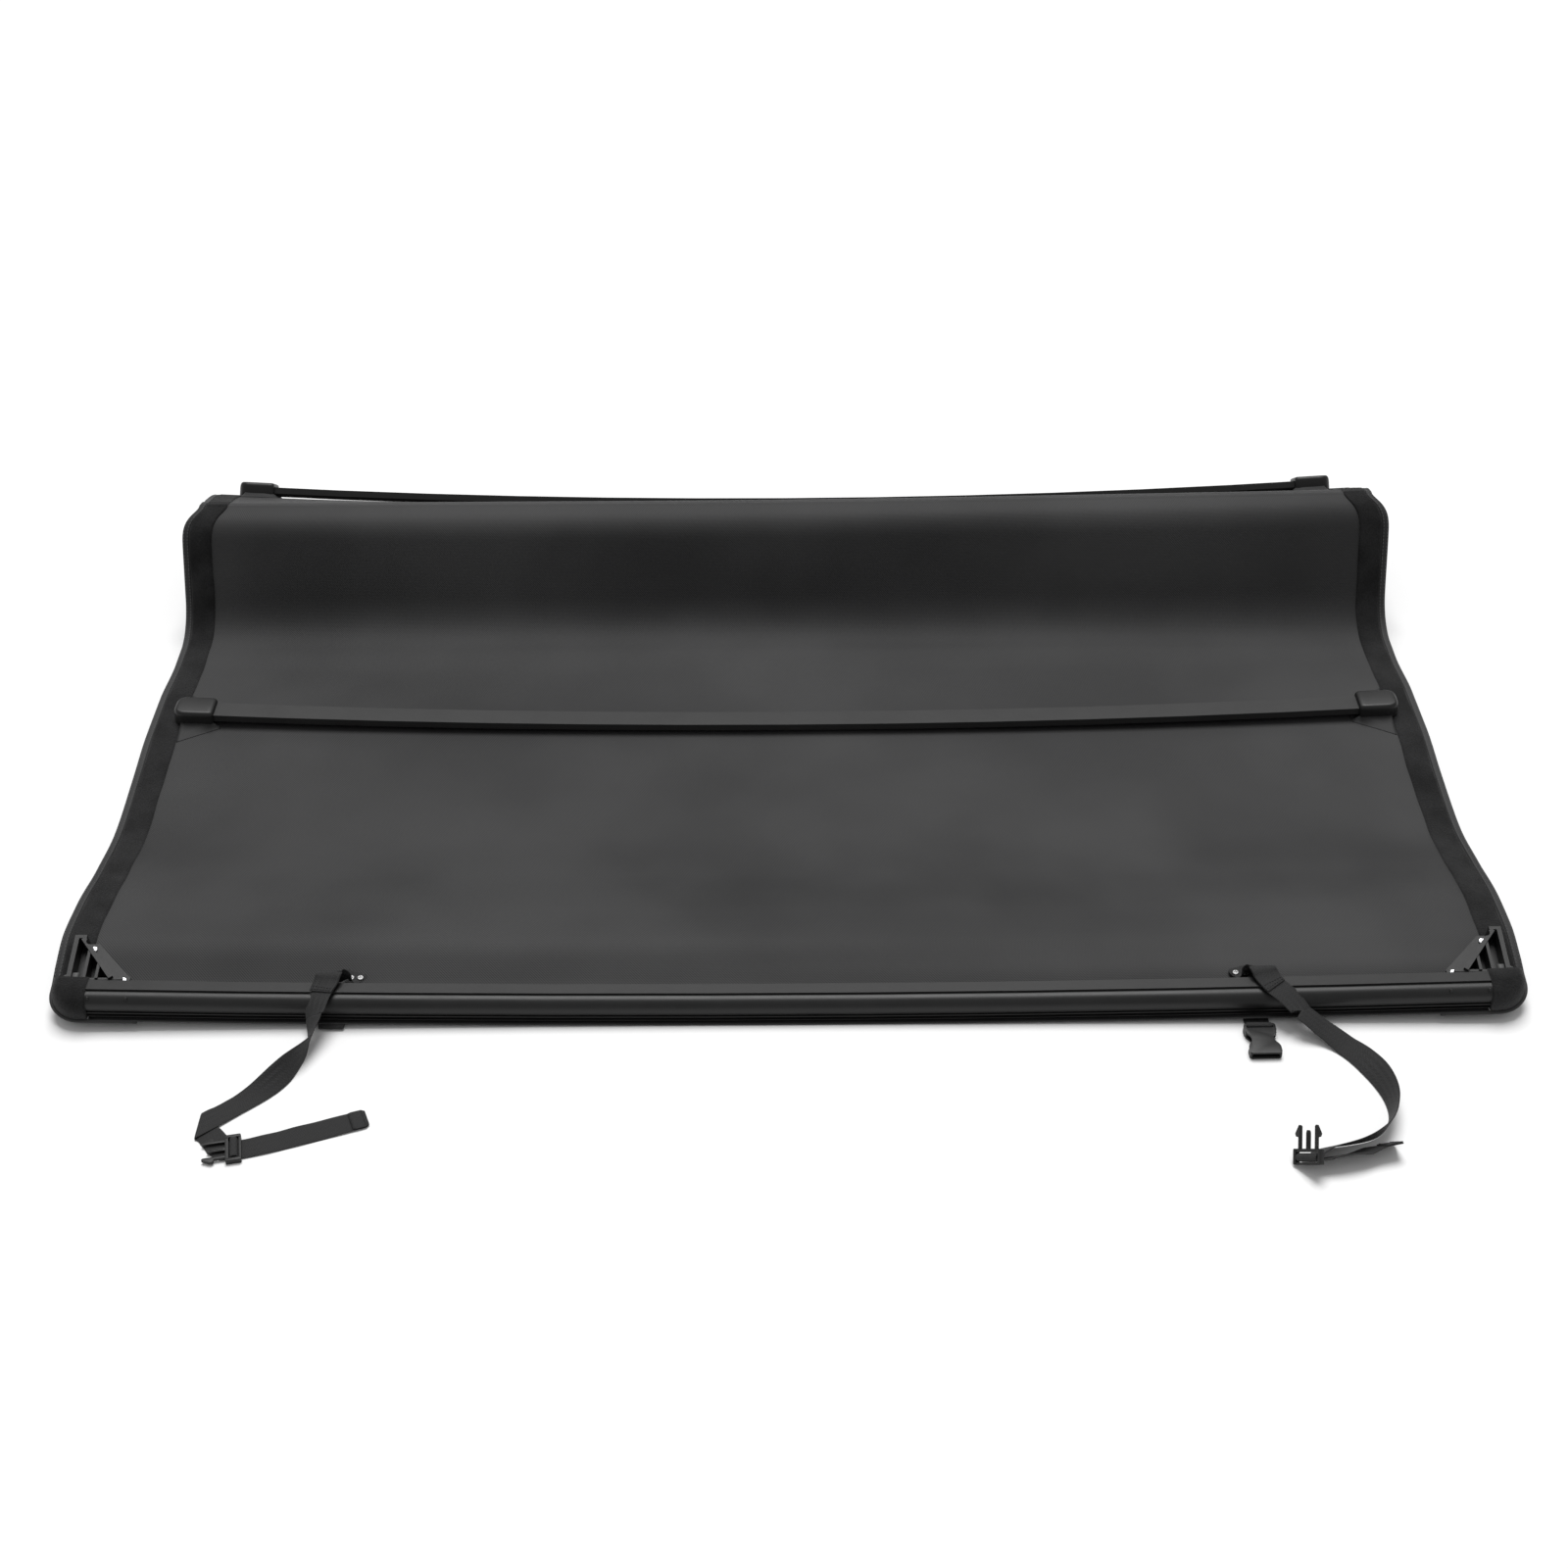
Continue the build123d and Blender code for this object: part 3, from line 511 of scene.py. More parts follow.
def surface(x, s, offset=0.0):
    """Points of the sheet at places across and along it, moved off its middle."""
    x, s = np.broadcast_arrays(np.asarray(x, float), np.asarray(s, float))
    y, z, ny, nz, crown = LINE.at(s)
    height, lift = soft_shape(x, s)
    height = height + crown * (x / HALF) ** 2
    # The crest's corners draw in, so that they look rounded.
    drawn_in = 0.018 * hill(s, CREST_TOP, np.where(s > CREST_TOP, 0.055, 0.018))
    drawn_in = drawn_in * smooth_step(np.abs(x), 0.60, 0.79)
    middle = np.stack([x - np.sign(x) * drawn_in, y + ny * height, z + nz * height + lift], -1)
    return middle if np.all(offset == 0.0) else middle + surface_normal(x, s) * np.expand_dims(offset, -1)


def surface_normal(x, s, step=0.0008):
    along = surface(x, s + step) - surface(x, s - step)
    across = surface(x + step, s) - surface(x - step, s)
    normal = np.cross(across, along)
    return normal / np.linalg.norm(normal, axis=-1, keepdims=True)


def rows_between(start, end, spacing=0.006):
    """Distances along the sheet from start to end, closer together at folds."""
    places = [start]
    while places[-1] < end - 1e-6:
        here = places[-1]
        step = spacing
        for fold in LINE.folds:
            if fold.s - 0.01 < here < fold.s_end + 0.01:
                step = min(spacing, fold.radius * 0.09)
        if abs(here - CREST_TOP) < 0.012:
            step = 0.0008
        places.append(here + step)
    places[-1] = end
    if places[-1] - places[-2] < 0.0004:
        places.pop(-2)
    return np.array(places)


# The sheet's five lengths, each over one fold, meeting on the flat in between
LENGTHS = []
edges = [0.0]
for fold, after in zip(LINE.folds, LINE.folds[1:]):
    edges.append((fold.s_end + after.s) / 2)
edges.append(LINE.length)
for fold, start, end, name in zip(LINE.folds, edges, edges[1:], ("front", "rise", "top", "floor", "end")):
    LENGTHS.append((name, fold, start, end))


def bend_with(piece):
    """Bakes the piece's placement into its mesh."""
    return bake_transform(piece)


SHEET_UP, SHEET_DOWN = 0.0009, 0.0008
STRIP_THICK = 0.0021
SHEET_NODES = {
    "front": ["front_sheet"], "rise": ["rise_sheet"], "top": ["top_sheet"],
    "floor": ["tail_floor_sheet"], "end": ["tail_lift_sheet", "tail_end_sheet"],
}
STRIP_NODES = {"front": ["front"], "rise": ["rise"], "top": ["top"], "floor": ["tail_floor"],
               "end": ["tail_lift", "tail_end"]}


def columns_across():
    inner = np.linspace(-STRIP_IN, STRIP_IN, 153)
    outer = np.linspace(STRIP_IN, HALF - 0.004, 6)[1:]
    return np.concatenate([-outer[::-1], inner, outer])


def add_sheet(name, start, end):
    x, s = columns_across(), rows_between(start, end)
    grid_x, grid_s = np.meshgrid(x, s)
    upper = surface(grid_x, grid_s, np.full(grid_x.shape, SHEET_UP))
    lower = surface(grid_x, grid_s, np.full(grid_x.shape, -SHEET_DOWN))
    return add_plate(f"sheet_{name}", upper, lower, x, s)


def add_band(name, x, rise, drop, start, end, side, wobble=0.0):
    """A narrow band along a side edge: rise and drop are its faces off the sheet's middle."""
    s = rows_between(start, end, 0.005)
    grid_x, grid_s = np.meshgrid(x, s)
    shift = wobble * (np.sin(grid_s * 41.0 + side) + 0.6 * np.sin(grid_s * 97.0 + 2 * side))
    upper = surface(side * (grid_x + shift), grid_s, np.broadcast_to(rise, grid_x.shape))
    lower = surface(side * (grid_x + shift), grid_s, np.broadcast_to(drop, grid_x.shape))
    if side < 0:
        upper, lower, x = upper[:, ::-1], lower[:, ::-1], x[::-1]
    return add_plate(name, upper, lower, x, s)


def rounded(x, low, high, edge):
    """One in the middle of a band and falling in a quarter round to nothing at both edges."""
    inside = np.minimum(x - low, high - x) / edge
    return np.sqrt(np.clip(1 - (1 - np.clip(inside, 0, 1)) ** 2, 0, 1))


def add_strip(name, start, end, side):
    x = np.concatenate([
        STRIP_IN + np.array([0, 0.0003, 0.0009, 0.0018]),
        np.linspace(STRIP_IN + 0.004, STRIP_OUT - 0.004, 7),
        STRIP_OUT - np.array([0.0018, 0.0009, 0.0003, 0]),
    ])
    rise = SHEET_UP + STRIP_THICK * rounded(x, STRIP_IN, STRIP_OUT, 0.0018) * 0.98 + 0.00003
    return add_band(name, x, rise, np.full(x.shape, SHEET_UP + 0.00002), start, end, side, 0.0004)


def add_hem(name, start, end, side):
    low, high = STRIP_OUT + 0.0003, HALF
    x = np.concatenate([low + np.array([0, 0.0002, 0.0007]),
                        np.linspace(low + 0.0014, high - 0.0014, 6),
                        high - np.array([0.0007, 0.0002, 0])])
    rise = 0.0002 + 0.0019 * rounded(x, low, high, 0.0014)
    grooves = 0.0003 * sum(hill(x, place, 0.0006) for place in (low + 0.0018, high - 0.0022))
    drop = -0.0002 - 0.0008 * rounded(x, low, high, 0.0014)
    return add_band(name, x, rise - grooves, drop, start, end, side)


# Rings of a stitch: place along it, height and size
STITCH = np.array([(-0.5, -0.0003, 0.35), (-0.3, 0.00022, 1.0), (0.0, 0.0003, 1.0), (0.3, 0.00022, 1.0),
                   (0.5, -0.0003, 0.35)])
CROSS_STITCH = ((-0.5, -0.0002, 0.4), (-0.2, 0.0003, 1), (0.2, 0.0003, 1), (0.5, -0.0002, 0.4))
STITCH_PITCH, STITCH_LONG, STITCH_RADIUS = 0.0042, 0.0030, 0.00034


def add_stitches(name, start, end, side, places, height):
    """Rows of stitches along an edge: each is a small bead that dips at both ends."""
    share, rise, size = STITCH.T
    s = np.arange(start + STITCH_PITCH / 2, end, STITCH_PITCH)[:, None] + STITCH_LONG * share
    rows = []
    for place in places:
        x = np.full(s.shape, side * place)
        middle = surface(x, s, np.broadcast_to(height + rise, s.shape))
        normal = surface_normal(x, s)
        rows.append(np.stack([
            middle + (np.array([cos, 0, 0]) + normal * sin) * (STITCH_RADIUS * size)[:, None]
            for cos, sin in ((1, 0), (0, 1), (-1, 0), (0, -1))], 2))
    return add_beads(name, np.concatenate(rows))


SIDES = (("left", -1), ("right", 1))
for name, fold, start, end in LENGTHS:
    sheet = add_sheet(name, start, end)
    dress(sheet, VINYL)
    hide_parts(*SHEET_NODES[name])
    bend_with(sheet)
    edging = []
    for side_name, side in SIDES:
        strip = add_strip(f"loop_strip_{name}_{side_name}", start, end, side)
        dress(strip, PILE)
        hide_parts(*[f"{node}_loop_strip_{side_name}" for node in STRIP_NODES[name]])
        hem = add_hem(f"hem_{name}_{side_name}", start, end, side)
        dress(hem, VINYL)
        stitches = add_stitches(f"hem_stitches_{name}_{side_name}", start, end, side,
                                (STRIP_OUT + 0.0021, HALF - 0.0022), 0.0019)
        dress(stitches, THREAD)
        for piece in (strip, hem, stitches):
            bend_with(piece)
        edging += [strip, hem, stitches]

# ----------------------------------------------------------------- ribbons and straps


def nurbs_points(name, route, fine=16):
    """Points along the smooth curve that a route's points control."""
    curve = bpy.data.curves.new(name, "CURVE")
    curve.dimensions = "3D"
    curve.resolution_u = fine
    spline = curve.splines.new("NURBS")
    spline.points.add(len(route) - 1)
    for point, place in zip(spline.points, route):
        point.co = (*place, 1)
    spline.order_u = 3
    spline.use_endpoint_u = True
    mesh = curve_mesh(curve)
    points = np.array([v.co for v in mesh.vertices])
    bpy.data.meshes.remove(mesh)
    return points


def unit(v):
    return v / np.linalg.norm(v, axis=-1, keepdims=True)


def lengths_of(points):
    """Distance along a line of points at each of them."""
    return np.concatenate([[0], np.cumsum(np.linalg.norm(np.diff(points, axis=0), axis=1))])


def add_ribbon(name, centres, halves, thick=WEB_THICK, round_ends=(0, 0)):
    """Webbing along its centres. halves lead from each centre to an edge, square or slanted."""
    centres, halves = np.asarray(centres, float), np.asarray(halves, float)
    along = unit(np.gradient(centres, axis=0))
    normals = unit(np.cross(along, halves))
    length = lengths_of(centres)
    shrink = np.ones(len(centres))
    for end, corner in zip((length, length[-1] - length), round_ends):
        if corner:
            gap = np.clip(1 - end / corner, 0, 1)
            shrink = np.minimum(shrink, 1 - corner / 0.0135 * (1 - np.sqrt(1 - gap ** 2)))
    halves = halves * shrink[:, None]
    across = np.array([-1, -0.985, -0.94, -0.8, -0.5, 0, 0.5, 0.8, 0.94, 0.985, 1])
    bulge = np.sqrt(np.clip(1 - np.abs(across) ** 14, 0, 1))
    loop = list(zip(across, bulge)) + list(zip(across[-2:0:-1], -bulge[-2:0:-1]))
    rings = [centres + halves * a + normals * thick / 2 * b for a, b in loop]
    slant = np.sum(halves * along, -1)
    square = np.sqrt(np.maximum(np.sum(halves * halves, -1) - slant ** 2, 0))
    uvs = np.stack([np.stack([square * a, length + slant * a], -1) for a, _ in loop + loop[:1]], 1)
    return add_tube(name, np.stack(rings, 1), uvs)


def lean(points, rolls):
    """Half-widths along a line, square to it, leaning by degrees given at shares of it."""
    along = unit(np.gradient(points, axis=0))
    side = unit(np.cross(along, (0, 0, 1)))
    up = np.cross(side, along)
    length = lengths_of(points)
    roll = np.radians(smooth_line(rolls, length / length[-1]))[:, None]
    return (side * np.cos(roll) + up * np.sin(roll)) * WEB_WIDE / 2


def laid(points, halves):
    """Lowers a route to where a leaning strap rests on the floor by its lower edge."""
    points = points.copy()
    high = np.clip((points[:, 2] - 0.006) / 0.012, 0, 1)
    free = points[:, 2] - (STRAP_FLOOR / 1000 - 0.0009) * (1 - high)
    flat = 1 - (np.abs(halves[:, 2]) / (WEB_WIDE / 2)) ** 2
    rest = np.abs(halves[:, 2]) + WEB_THICK / 2 * np.sqrt(np.clip(flat, 0, 1)) + 0.0002
    points[:, 2] = (free + rest + np.sqrt((free - rest) ** 2 + 0.0006 ** 2)) / 2
    return points


def route(*points):
    """Route points in millimetres, with y from the header's front, as points in metres."""
    return [(x / 1000, Y_FRONT + y / 1000, z / 1000) for x, y, z in points]


def place_on_floor(x, y, heading, pitch=0.0, roll=0.0, lift=0.1):
    """Where a buckle lies: its heading is that of its prongs, raised by pitch, then rolled."""
    turned = Matrix.Translation((x / 1000, Y_FRONT + y / 1000, lift / 1000))
    for degrees, axis in ((heading, "Z"), (-pitch, "Y"), (roll, "X")):
        turned = turned @ Matrix.Rotation(math.radians(degrees), 4, axis)
    return turned


def placed(matrix, points):
    """Points given in millimetres in a buckle's own frame, in the frame of the model."""
    return np.array([matrix @ Vector(np.asarray(p) / 1000) for p in points])


MALE_PLACES = {
    "left": place_on_floor(-570.6, -187.6, 191.0),
    "right": place_on_floor(520.0, -212.5, 85.0, pitch=42.0, roll=-52.0, lift=20.45),
}
FEMALE_PLACES = {
    "left": place_on_floor(-491.5, 48.0, 90.0),
    "right": place_on_floor(503.0, -14.5, -89.0),
}
STRAP_FLOOR = 3.9
MAIN_ROUTES = {
    "left": route(
        (-506.5, -11.0, 25.0), (-507.5, -28, 16), (-510, -45, 9), (-516, -62, 5),
        (-531, -85, STRAP_FLOOR), (-553, -106, 4), (-578, -128, STRAP_FLOOR), (-598.5, -146.5, 4),
        (-599, -158, STRAP_FLOOR), (-588, -165.5, STRAP_FLOOR), (-582, -168.5, STRAP_FLOOR)),
    "right": route(
        (546.5, -12.6, 24.4), (562, -21, 15), (582, -34, 8), (603, -60, 4.2),
        (615, -92, STRAP_FLOOR), (621, -122, 4), (619.5, -148, STRAP_FLOOR), (610, -171, 4),
        (592, -187, STRAP_FLOOR), (566, -196, 4), (541, -200.5, STRAP_FLOOR)),
}
TAIL_ROUTES = {
    "left": route(
        (-553.8, -184.3, STRAP_FLOOR), (-536, -179.5, STRAP_FLOOR), (-505, -168.5, 4),
        (-470, -155.5, STRAP_FLOOR), (-434, -141.5, STRAP_FLOOR)),
    "right": route(
        (541, -214.5, STRAP_FLOOR), (557, -212, STRAP_FLOOR), (573, -207.5, 4),
        (588, -200.5, STRAP_FLOOR), (614, -195.5, STRAP_FLOOR)),
}
# How the straps lean, in degrees, at shares of a line: 0 is flat, 90 on its edge
LEFT_TWIST = [(0, -42), (0.12, -60), (0.30, -84), (0.42, -100), (0.60, -135), (0.85, -172), (1, -180)]
RIGHT_TWIST = [(0, 0), (0.12, -4), (0.28, -22), (0.42, -52), (0.52, -68), (0.60, -76),
               (0.70, -72), (0.82, -56), (1, -44)]
RIGHT_TAIL_TWIST = [(0, 44), (0.40, 46), (0.62, 34), (0.82, 44), (1, 46)]
FOLD_AT = route((-604.0, -152.3, 0))[0]
FOLD_TURN = 41.8


def folded_strap():
    """The left strap: half a twist off the rail, flat to its fold, back under the prongs,
    through the buckle's slots and out as the tail."""
    points = nurbs_points("left_line", MAIN_ROUTES["left"])
    points = points[points[:, 0] > -0.572]
    halves = lean(points, LEFT_TWIST)
    points = laid(points, halves)
    # Straight on to the fold, its rows slanting until they lie along the fold
    fold = np.array(FOLD_AT)
    start = points[-1]
    shares = np.linspace(0, 1, 15)[1:, None]
    top = np.array([fold[0], fold[1], 0.0031])
    run = start + (top - start) * shares
    run[:, 2] = start[2] + (0.0031 - start[2]) * smooth_step(shares[:, 0], 0.2, 1)
    towards = unit(top[:2] - start[:2])
    square = np.array([towards[1], -towards[0]])
    if np.dot(square, halves[-1][:2]) < 0:
        square = -square
    sign = 1 if square[1] > 0 else -1

    def slanted(direction, amount):
        """Half-width of the strap cut along a line turned towards the fold's by amount."""
        across = np.array([direction[1], -direction[0]])
        across = across * (1 if across[1] * sign > 0 else -1)
        mixed = unit(across * (1 - amount) + np.array([0, sign]) * amount)
        return np.array([*(mixed * WEB_WIDE / 2 / abs(np.dot(mixed, across))), 0])

    rows = [slanted(towards, float(smooth_step(share, 0.25, 0.95))) for share in shares[:, 0]]
    # Round the fold
    bend = []
    for angle in np.linspace(0, math.pi, 9)[1:]:
        bend.append((fold[0] - 0.0011 * math.sin(angle), fold[1] - 0.0004 * angle,
                     0.0020 + 0.0011 * math.cos(angle)))
        rows.append(np.array([0, sign * WEB_WIDE / 2 / math.cos(math.radians(FOLD_TURN)), 0]))
    # Back under, turning to enter the buckle
    guide = [bend[-1], *route((-594, -161.5, 0.9), (-583, -174.5, 0.9), (-575.5, -185.5, 0.9),
                              (-566.5, -186.8, 0.9))]
    under = nurbs_points("left_under", guide)[2:]
    direction = unit(np.gradient(under, axis=0))[:, :2]
    amounts = 1 - smooth_step(np.linspace(0, 1, len(under)), 0.0, 0.35)
    rows += [slanted(d, float(amount)) for d, amount in zip(direction, amounts)]
    # Up through one slot, over the bar, down through the other
    weave = [(-4.4, 1.1), (-5.0, 3.2), (-5.4, 5.4), (-6.4, 6.7), (-8.5, 7.1), (-10.6, 6.7),
             (-11.6, 5.4), (-12.0, 3.2), (-12.8, 1.1), (-16.8, 0.9)]
    woven = placed(MALE_PLACES["left"], [(x, 0, z) for x, z in weave])
    tail = nurbs_points("left_tail", [tuple(woven[-1]), *TAIL_ROUTES["left"][1:]])[2:]
    tail[:, 2] = 0.0009 + 0.0006 * np.sin(np.linspace(0, 9, len(tail))) ** 2
    woven = nurbs_points("left_weave", [tuple(under[-1]), *[tuple(p) for p in woven]], 6)[1:]
    cross = MALE_PLACES["left"].to_3x3() @ Vector((0, WEB_WIDE / 2, 0))
    cross = np.array(cross) * (1 if cross.y * sign > 0 else -1)
    rows += [cross] * len(woven)
    tail_rows = lean(tail, [(0, 0), (0.5, -3), (1, 2)])
    tail_rows *= np.sign(np.sum(tail_rows * cross, -1, keepdims=True))
    centres = np.concatenate([points, run, bend, under, woven, tail])
    return centres, np.concatenate([halves, rows, tail_rows]), len(tail)


def looped_strap():
    """The right strap: flat off the rail, banked round its bend, round the buckle's bar."""
    to_buckle = route((529, -207, 9), (523, -214.5, 12.5))
    points = nurbs_points("right_line", MAIN_ROUTES["right"] + to_buckle)
    halves = lean(points, RIGHT_TWIST)
    points = laid(points, halves)
    bar = np.array(MALE_PLACES["right"] @ Vector((-0.0085, 0, 0.003)))
    cross = np.array(MALE_PLACES["right"].to_3x3() @ Vector((0, -WEB_WIDE / 2, 0)))
    cross = cross * np.sign(np.dot(cross, halves[-1]))
    forward = np.array(MALE_PLACES["right"].to_3x3() @ Vector((1, 0, 0)))
    out = np.array(MALE_PLACES["right"].to_3x3() @ Vector((0, 0, 1)))
    wrap = [bar + (forward * math.sin(t) - out * math.cos(t)) * 0.0036
            for t in np.linspace(0.3, 2 * math.pi - 0.3, 13)]
    tail = nurbs_points("right_tail", route((525, -217.5, 11), (532, -216, 8)) + TAIL_ROUTES["right"])
    tail_halves = lean(tail, RIGHT_TAIL_TWIST)
    tail = laid(tail, tail_halves)
    if np.dot(tail_halves[0], cross) < 0:
        tail_halves = -tail_halves
    centres = np.concatenate([points, wrap, tail])
    return centres, np.concatenate([halves, [cross] * len(wrap), tail_halves]), len(tail)


# Each long strap over the rail: x at its tab, at the rail's back edge, on top, and leaving
ANCHORS = {"left": (-0.470, -0.495, -0.502, -0.5065), "right": (0.491, 0.511, 0.522, 0.5465)}


def rail_crown(x):
    return RAIL_CROWN * (x / RAIL_HALF) ** 2


def anchor_path(side):
    """From the screwed tab up over the rail, along its top, and off its nose."""
    tab, back, flat, leave = ANCHORS[side]
    rise = rail_crown(back)
    end = Vector(MAIN_ROUTES[side][0])
    points = [
        (tab, 0.0575, 0.0260), (tab + (back - tab) * 0.12, 0.0500, 0.0250),
        (tab + (back - tab) * 0.45, 0.0465, 0.0262), (back, 0.0440, 0.0345 + rise),
        (back, 0.0345, 0.0395 + rise), (back + (flat - back) * 0.4, 0.026, 0.0338 + rise),
        (flat, 0.014, 0.0313 + rise), (flat + (leave - flat) * 0.5, 0.003, 0.0303 + rise * 0.6),
    ]
    points = [(x, Y_FRONT + y, z) for x, y, z in points]
    return points + [tuple(end + Vector((0, 0.0015, 0.0006))), tuple(end)]


def add_cross_stitches(name, centres, halves, normals, share_wide, lift, count=7):
    """Stitches across a ribbon, one row for each given centre."""
    beads = []
    for centre, half, normal in zip(centres, halves, normals):
        forward = unit(np.cross(normal, half))
        wide = half * share_wide
        for k in range(count):
            middle = centre + wide * (2 * (k + 0.5) / count - 1)
            beads.append([[middle + wide * share * 1.6 / count + normal * (lift + rise) + out * 0.0004 * size
                           for out in (forward, normal, -forward, -normal)]
                          for share, rise, size in CROSS_STITCH])
    return add_beads(name, beads)


cord_pieces = {"left": [], "right": []}
ribbons = {}
for side, lay_strap in (("left", folded_strap), ("right", looped_strap)):
    centres, halves, tail_rows = lay_strap()
    ribbon = add_ribbon(f"{side}_strap_webbing", centres, halves, round_ends=(0, 0.003))
    fit(ribbon, WEBBING, "webbing", "front_panel", f"{side}_strap", f"{side}_strap_tail")
    ribbons[side] = ribbon, halves[0], centres
    # The free end is turned over and sewn.
    tail, tail_halves = centres[-tail_rows:], halves[-tail_rows:]
    normals = unit(np.cross(unit(np.gradient(tail, axis=0)), tail_halves))
    normals = normals * (1 if normals[-1][2] > 0 else -1)
    from_end = lengths_of(tail)[-1] - lengths_of(tail)
    last = from_end < 0.020
    over = add_ribbon(f"{side}_strap_hem", tail[last] + normals[last] * WEB_THICK * 0.97,
                      tail_halves[last] * 0.985, round_ends=(0.001, 0.003))
    rows = [int(np.argmin(np.abs(from_end - place))) for place in (0.0165, 0.0045)]
    sewn = add_cross_stitches(f"{side}_strap_stitches", tail[rows], tail_halves[rows], normals[rows],
                              0.86, WEB_THICK * 1.5)
    cord_pieces[side] = [fit(over, WEBBING, "webbing", "front_panel"),
                         fit(sewn, DARK_THREAD, "webbing", "front_panel")]

ANCHOR_HALF = 0.0138
for side in ANCHORS:
    points = nurbs_points(f"{side}_anchor_line", anchor_path(side), 10)
    strap_half = ribbons[side][1] * (1 if ribbons[side][1][0] > 0 else -1)
    share = np.linspace(0, 1, len(points))[:, None] ** 3
    halves = (1 - share) * np.array([[ANCHOR_HALF, 0, 0]]) + share * strap_half
    along = unit(np.gradient(points, axis=0))
    halves = unit(halves - along * np.sum(halves * along, -1, keepdims=True)) * 0.01375
    band = add_ribbon(f"{side}_anchor_webbing", points, halves, round_ends=(0.002, 0))
    fit(band, WEBBING, "webbing", "front_panel", f"{side}_strap_anchor")
    # The sewn lap on top of the rail
    normals = np.cross(halves, along)
    normals = unit(normals) * np.sign(normals[:, 2:3] + 1e-9)
    y = points[:, 1] - Y_FRONT
    lap = (y < 0.037) & (y > 0.0125)
    over = add_ribbon(f"{side}_anchor_lap", points[lap] + normals[lap] * WEB_THICK * 0.98,
                      halves[lap] * 0.99, round_ends=(0.0008, 0.0008))
    fit(over, WEBBING, "webbing", "front_panel")
    rows = [int(np.argmin(np.abs(y - place))) for place in (0.0150, 0.0190)]
    sewn = add_cross_stitches(f"{side}_anchor_stitches", points[rows], halves[rows], normals[rows],
                              0.88, WEB_THICK * 1.5)
    fit(sewn, DARK_THREAD, "webbing", "front_panel")

# ------------------------------------------------------------- buckles, in millimetres


def soft_outline(points, radius):
    """A closed outline with its corners rounded."""
    soft = []
    for i, corner in enumerate(points):
        corner = np.array(corner, float)
        before, after = np.array(points[i - 1]), np.array(points[(i + 1) % len(points)])
        reach = min(radius, *(0.45 * np.linalg.norm(p - corner) for p in (before, after)))
        start, end = corner + unit(before - corner) * reach, corner + unit(after - corner) * reach
        for t in (0, 0.25, 0.5, 0.75, 1):
            soft.append(start * (1 - t) ** 2 + corner * 2 * t * (1 - t) + end * t ** 2)
    return soft


def box_outline(x0, y0, x1, y1, radius=0.8):
    return soft_outline([(x0, y0), (x1, y0), (x1, y1), (x0, y1)], radius)


def both_sides(outline):
    return [outline, [(x, -y) for x, y in reversed(outline)]]


def add_moulding(name, layers, matrix, bevel=0.4):
    """A moulding in a buckle's own frame: each layer is outlines with holes and two heights."""
    whole = bmesh.new()
    for outlines, low, high in layers:
        curve = bpy.data.curves.new(name, "CURVE")
        curve.dimensions = "2D"
        curve.fill_mode = "BOTH"
        curve.extrude = (high - low) / 2
        for outline in outlines:
            spline = curve.splines.new("POLY")
            spline.points.add(len(outline) - 1)
            for point, (x, y) in zip(spline.points, outline):
                point.co = (x, y, 0, 1)
            spline.use_cyclic_u = True
        mesh = curve_mesh(curve)
        layer = bmesh.new()
        layer.from_mesh(mesh)
        bmesh.ops.translate(layer, verts=layer.verts, vec=(0, 0, (low + high) / 2))
        bmesh.ops.remove_doubles(layer, verts=layer.verts, dist=0.001)
        corners = [edge for edge in layer.edges
                   if len(edge.link_faces) == 2 and edge.calc_face_angle() > 1.2]
        bmesh.ops.bevel(layer, geom=corners, offset=bevel, segments=2, profile=0.6,
                        affect="EDGES", clamp_overlap=True)
        layer.to_mesh(mesh)
        layer.free()
        whole.from_mesh(mesh)
        bpy.data.meshes.remove(mesh)
    bmesh.ops.recalc_face_normals(whole, faces=whole.faces)
    mesh = bpy.data.meshes.new(name)
    whole.to_mesh(mesh)
    whole.free()
    mesh.transform(matrix @ Matrix.Scale(0.001, 4))
    mesh.polygons.foreach_set("use_smooth", [True] * len(mesh.polygons))
    mesh.set_sharp_from_angle(angle=math.radians(35))
    return add_object(name, mesh)


SLOTS = [box_outline(-13.7, -14.5, -10.3, 14.5), box_outline(-6.7, -14.5, -3.3, 14.5)]
GUIDE = soft_outline([(-0.6, -1.8), (15.5, -1.8), (18.5, -0.9), (18.5, 0.9), (15.5, 1.8), (-0.6, 1.8)], 0.8)
# Layers of a moulding: its outlines and holes, and the heights of its faces
MALE_FRAME = [
    ([box_outline(-16, -17.9, 0, 17.9, 2.5), *SLOTS], 1.5, 5.3),
    (both_sides(box_outline(-16, 14.7, 0, 18, 1.6)), 0.0, 6.0),
    ([GUIDE], 1.6, 5.0),
    ([box_outline(1.5, -0.6, 15.5, 0.6, 0.3)], 4.8, 5.6),
]
PRONG = [(-0.4, 9.7), (22.5, 9.7), (24, 11.5), (15, 16.6), (12, 15.4), (11.4, 12.3), (-0.4, 12.3)]
SHELL_EDGE = [(0, 15), (2, 17), (10, 17), (15, 15.2), (19, 12.3), (23, 11.7), (27, 12.3), (31, 15.2),
              (35, 17), (44, 17), (46, 15)]
SHELL = soft_outline(SHELL_EDGE + [(x, -y) for x, y in reversed(SHELL_EDGE)], 1.6)
SHELL_SLOT = box_outline(3.1, -14.3, 6.9, 14.3)
SIDE_WALL = soft_outline([(31, 12.6), (33, 15.4), (36, 16.7), (45.6, 16.7), (45.6, 14.4), (33, 13)], 0.6)
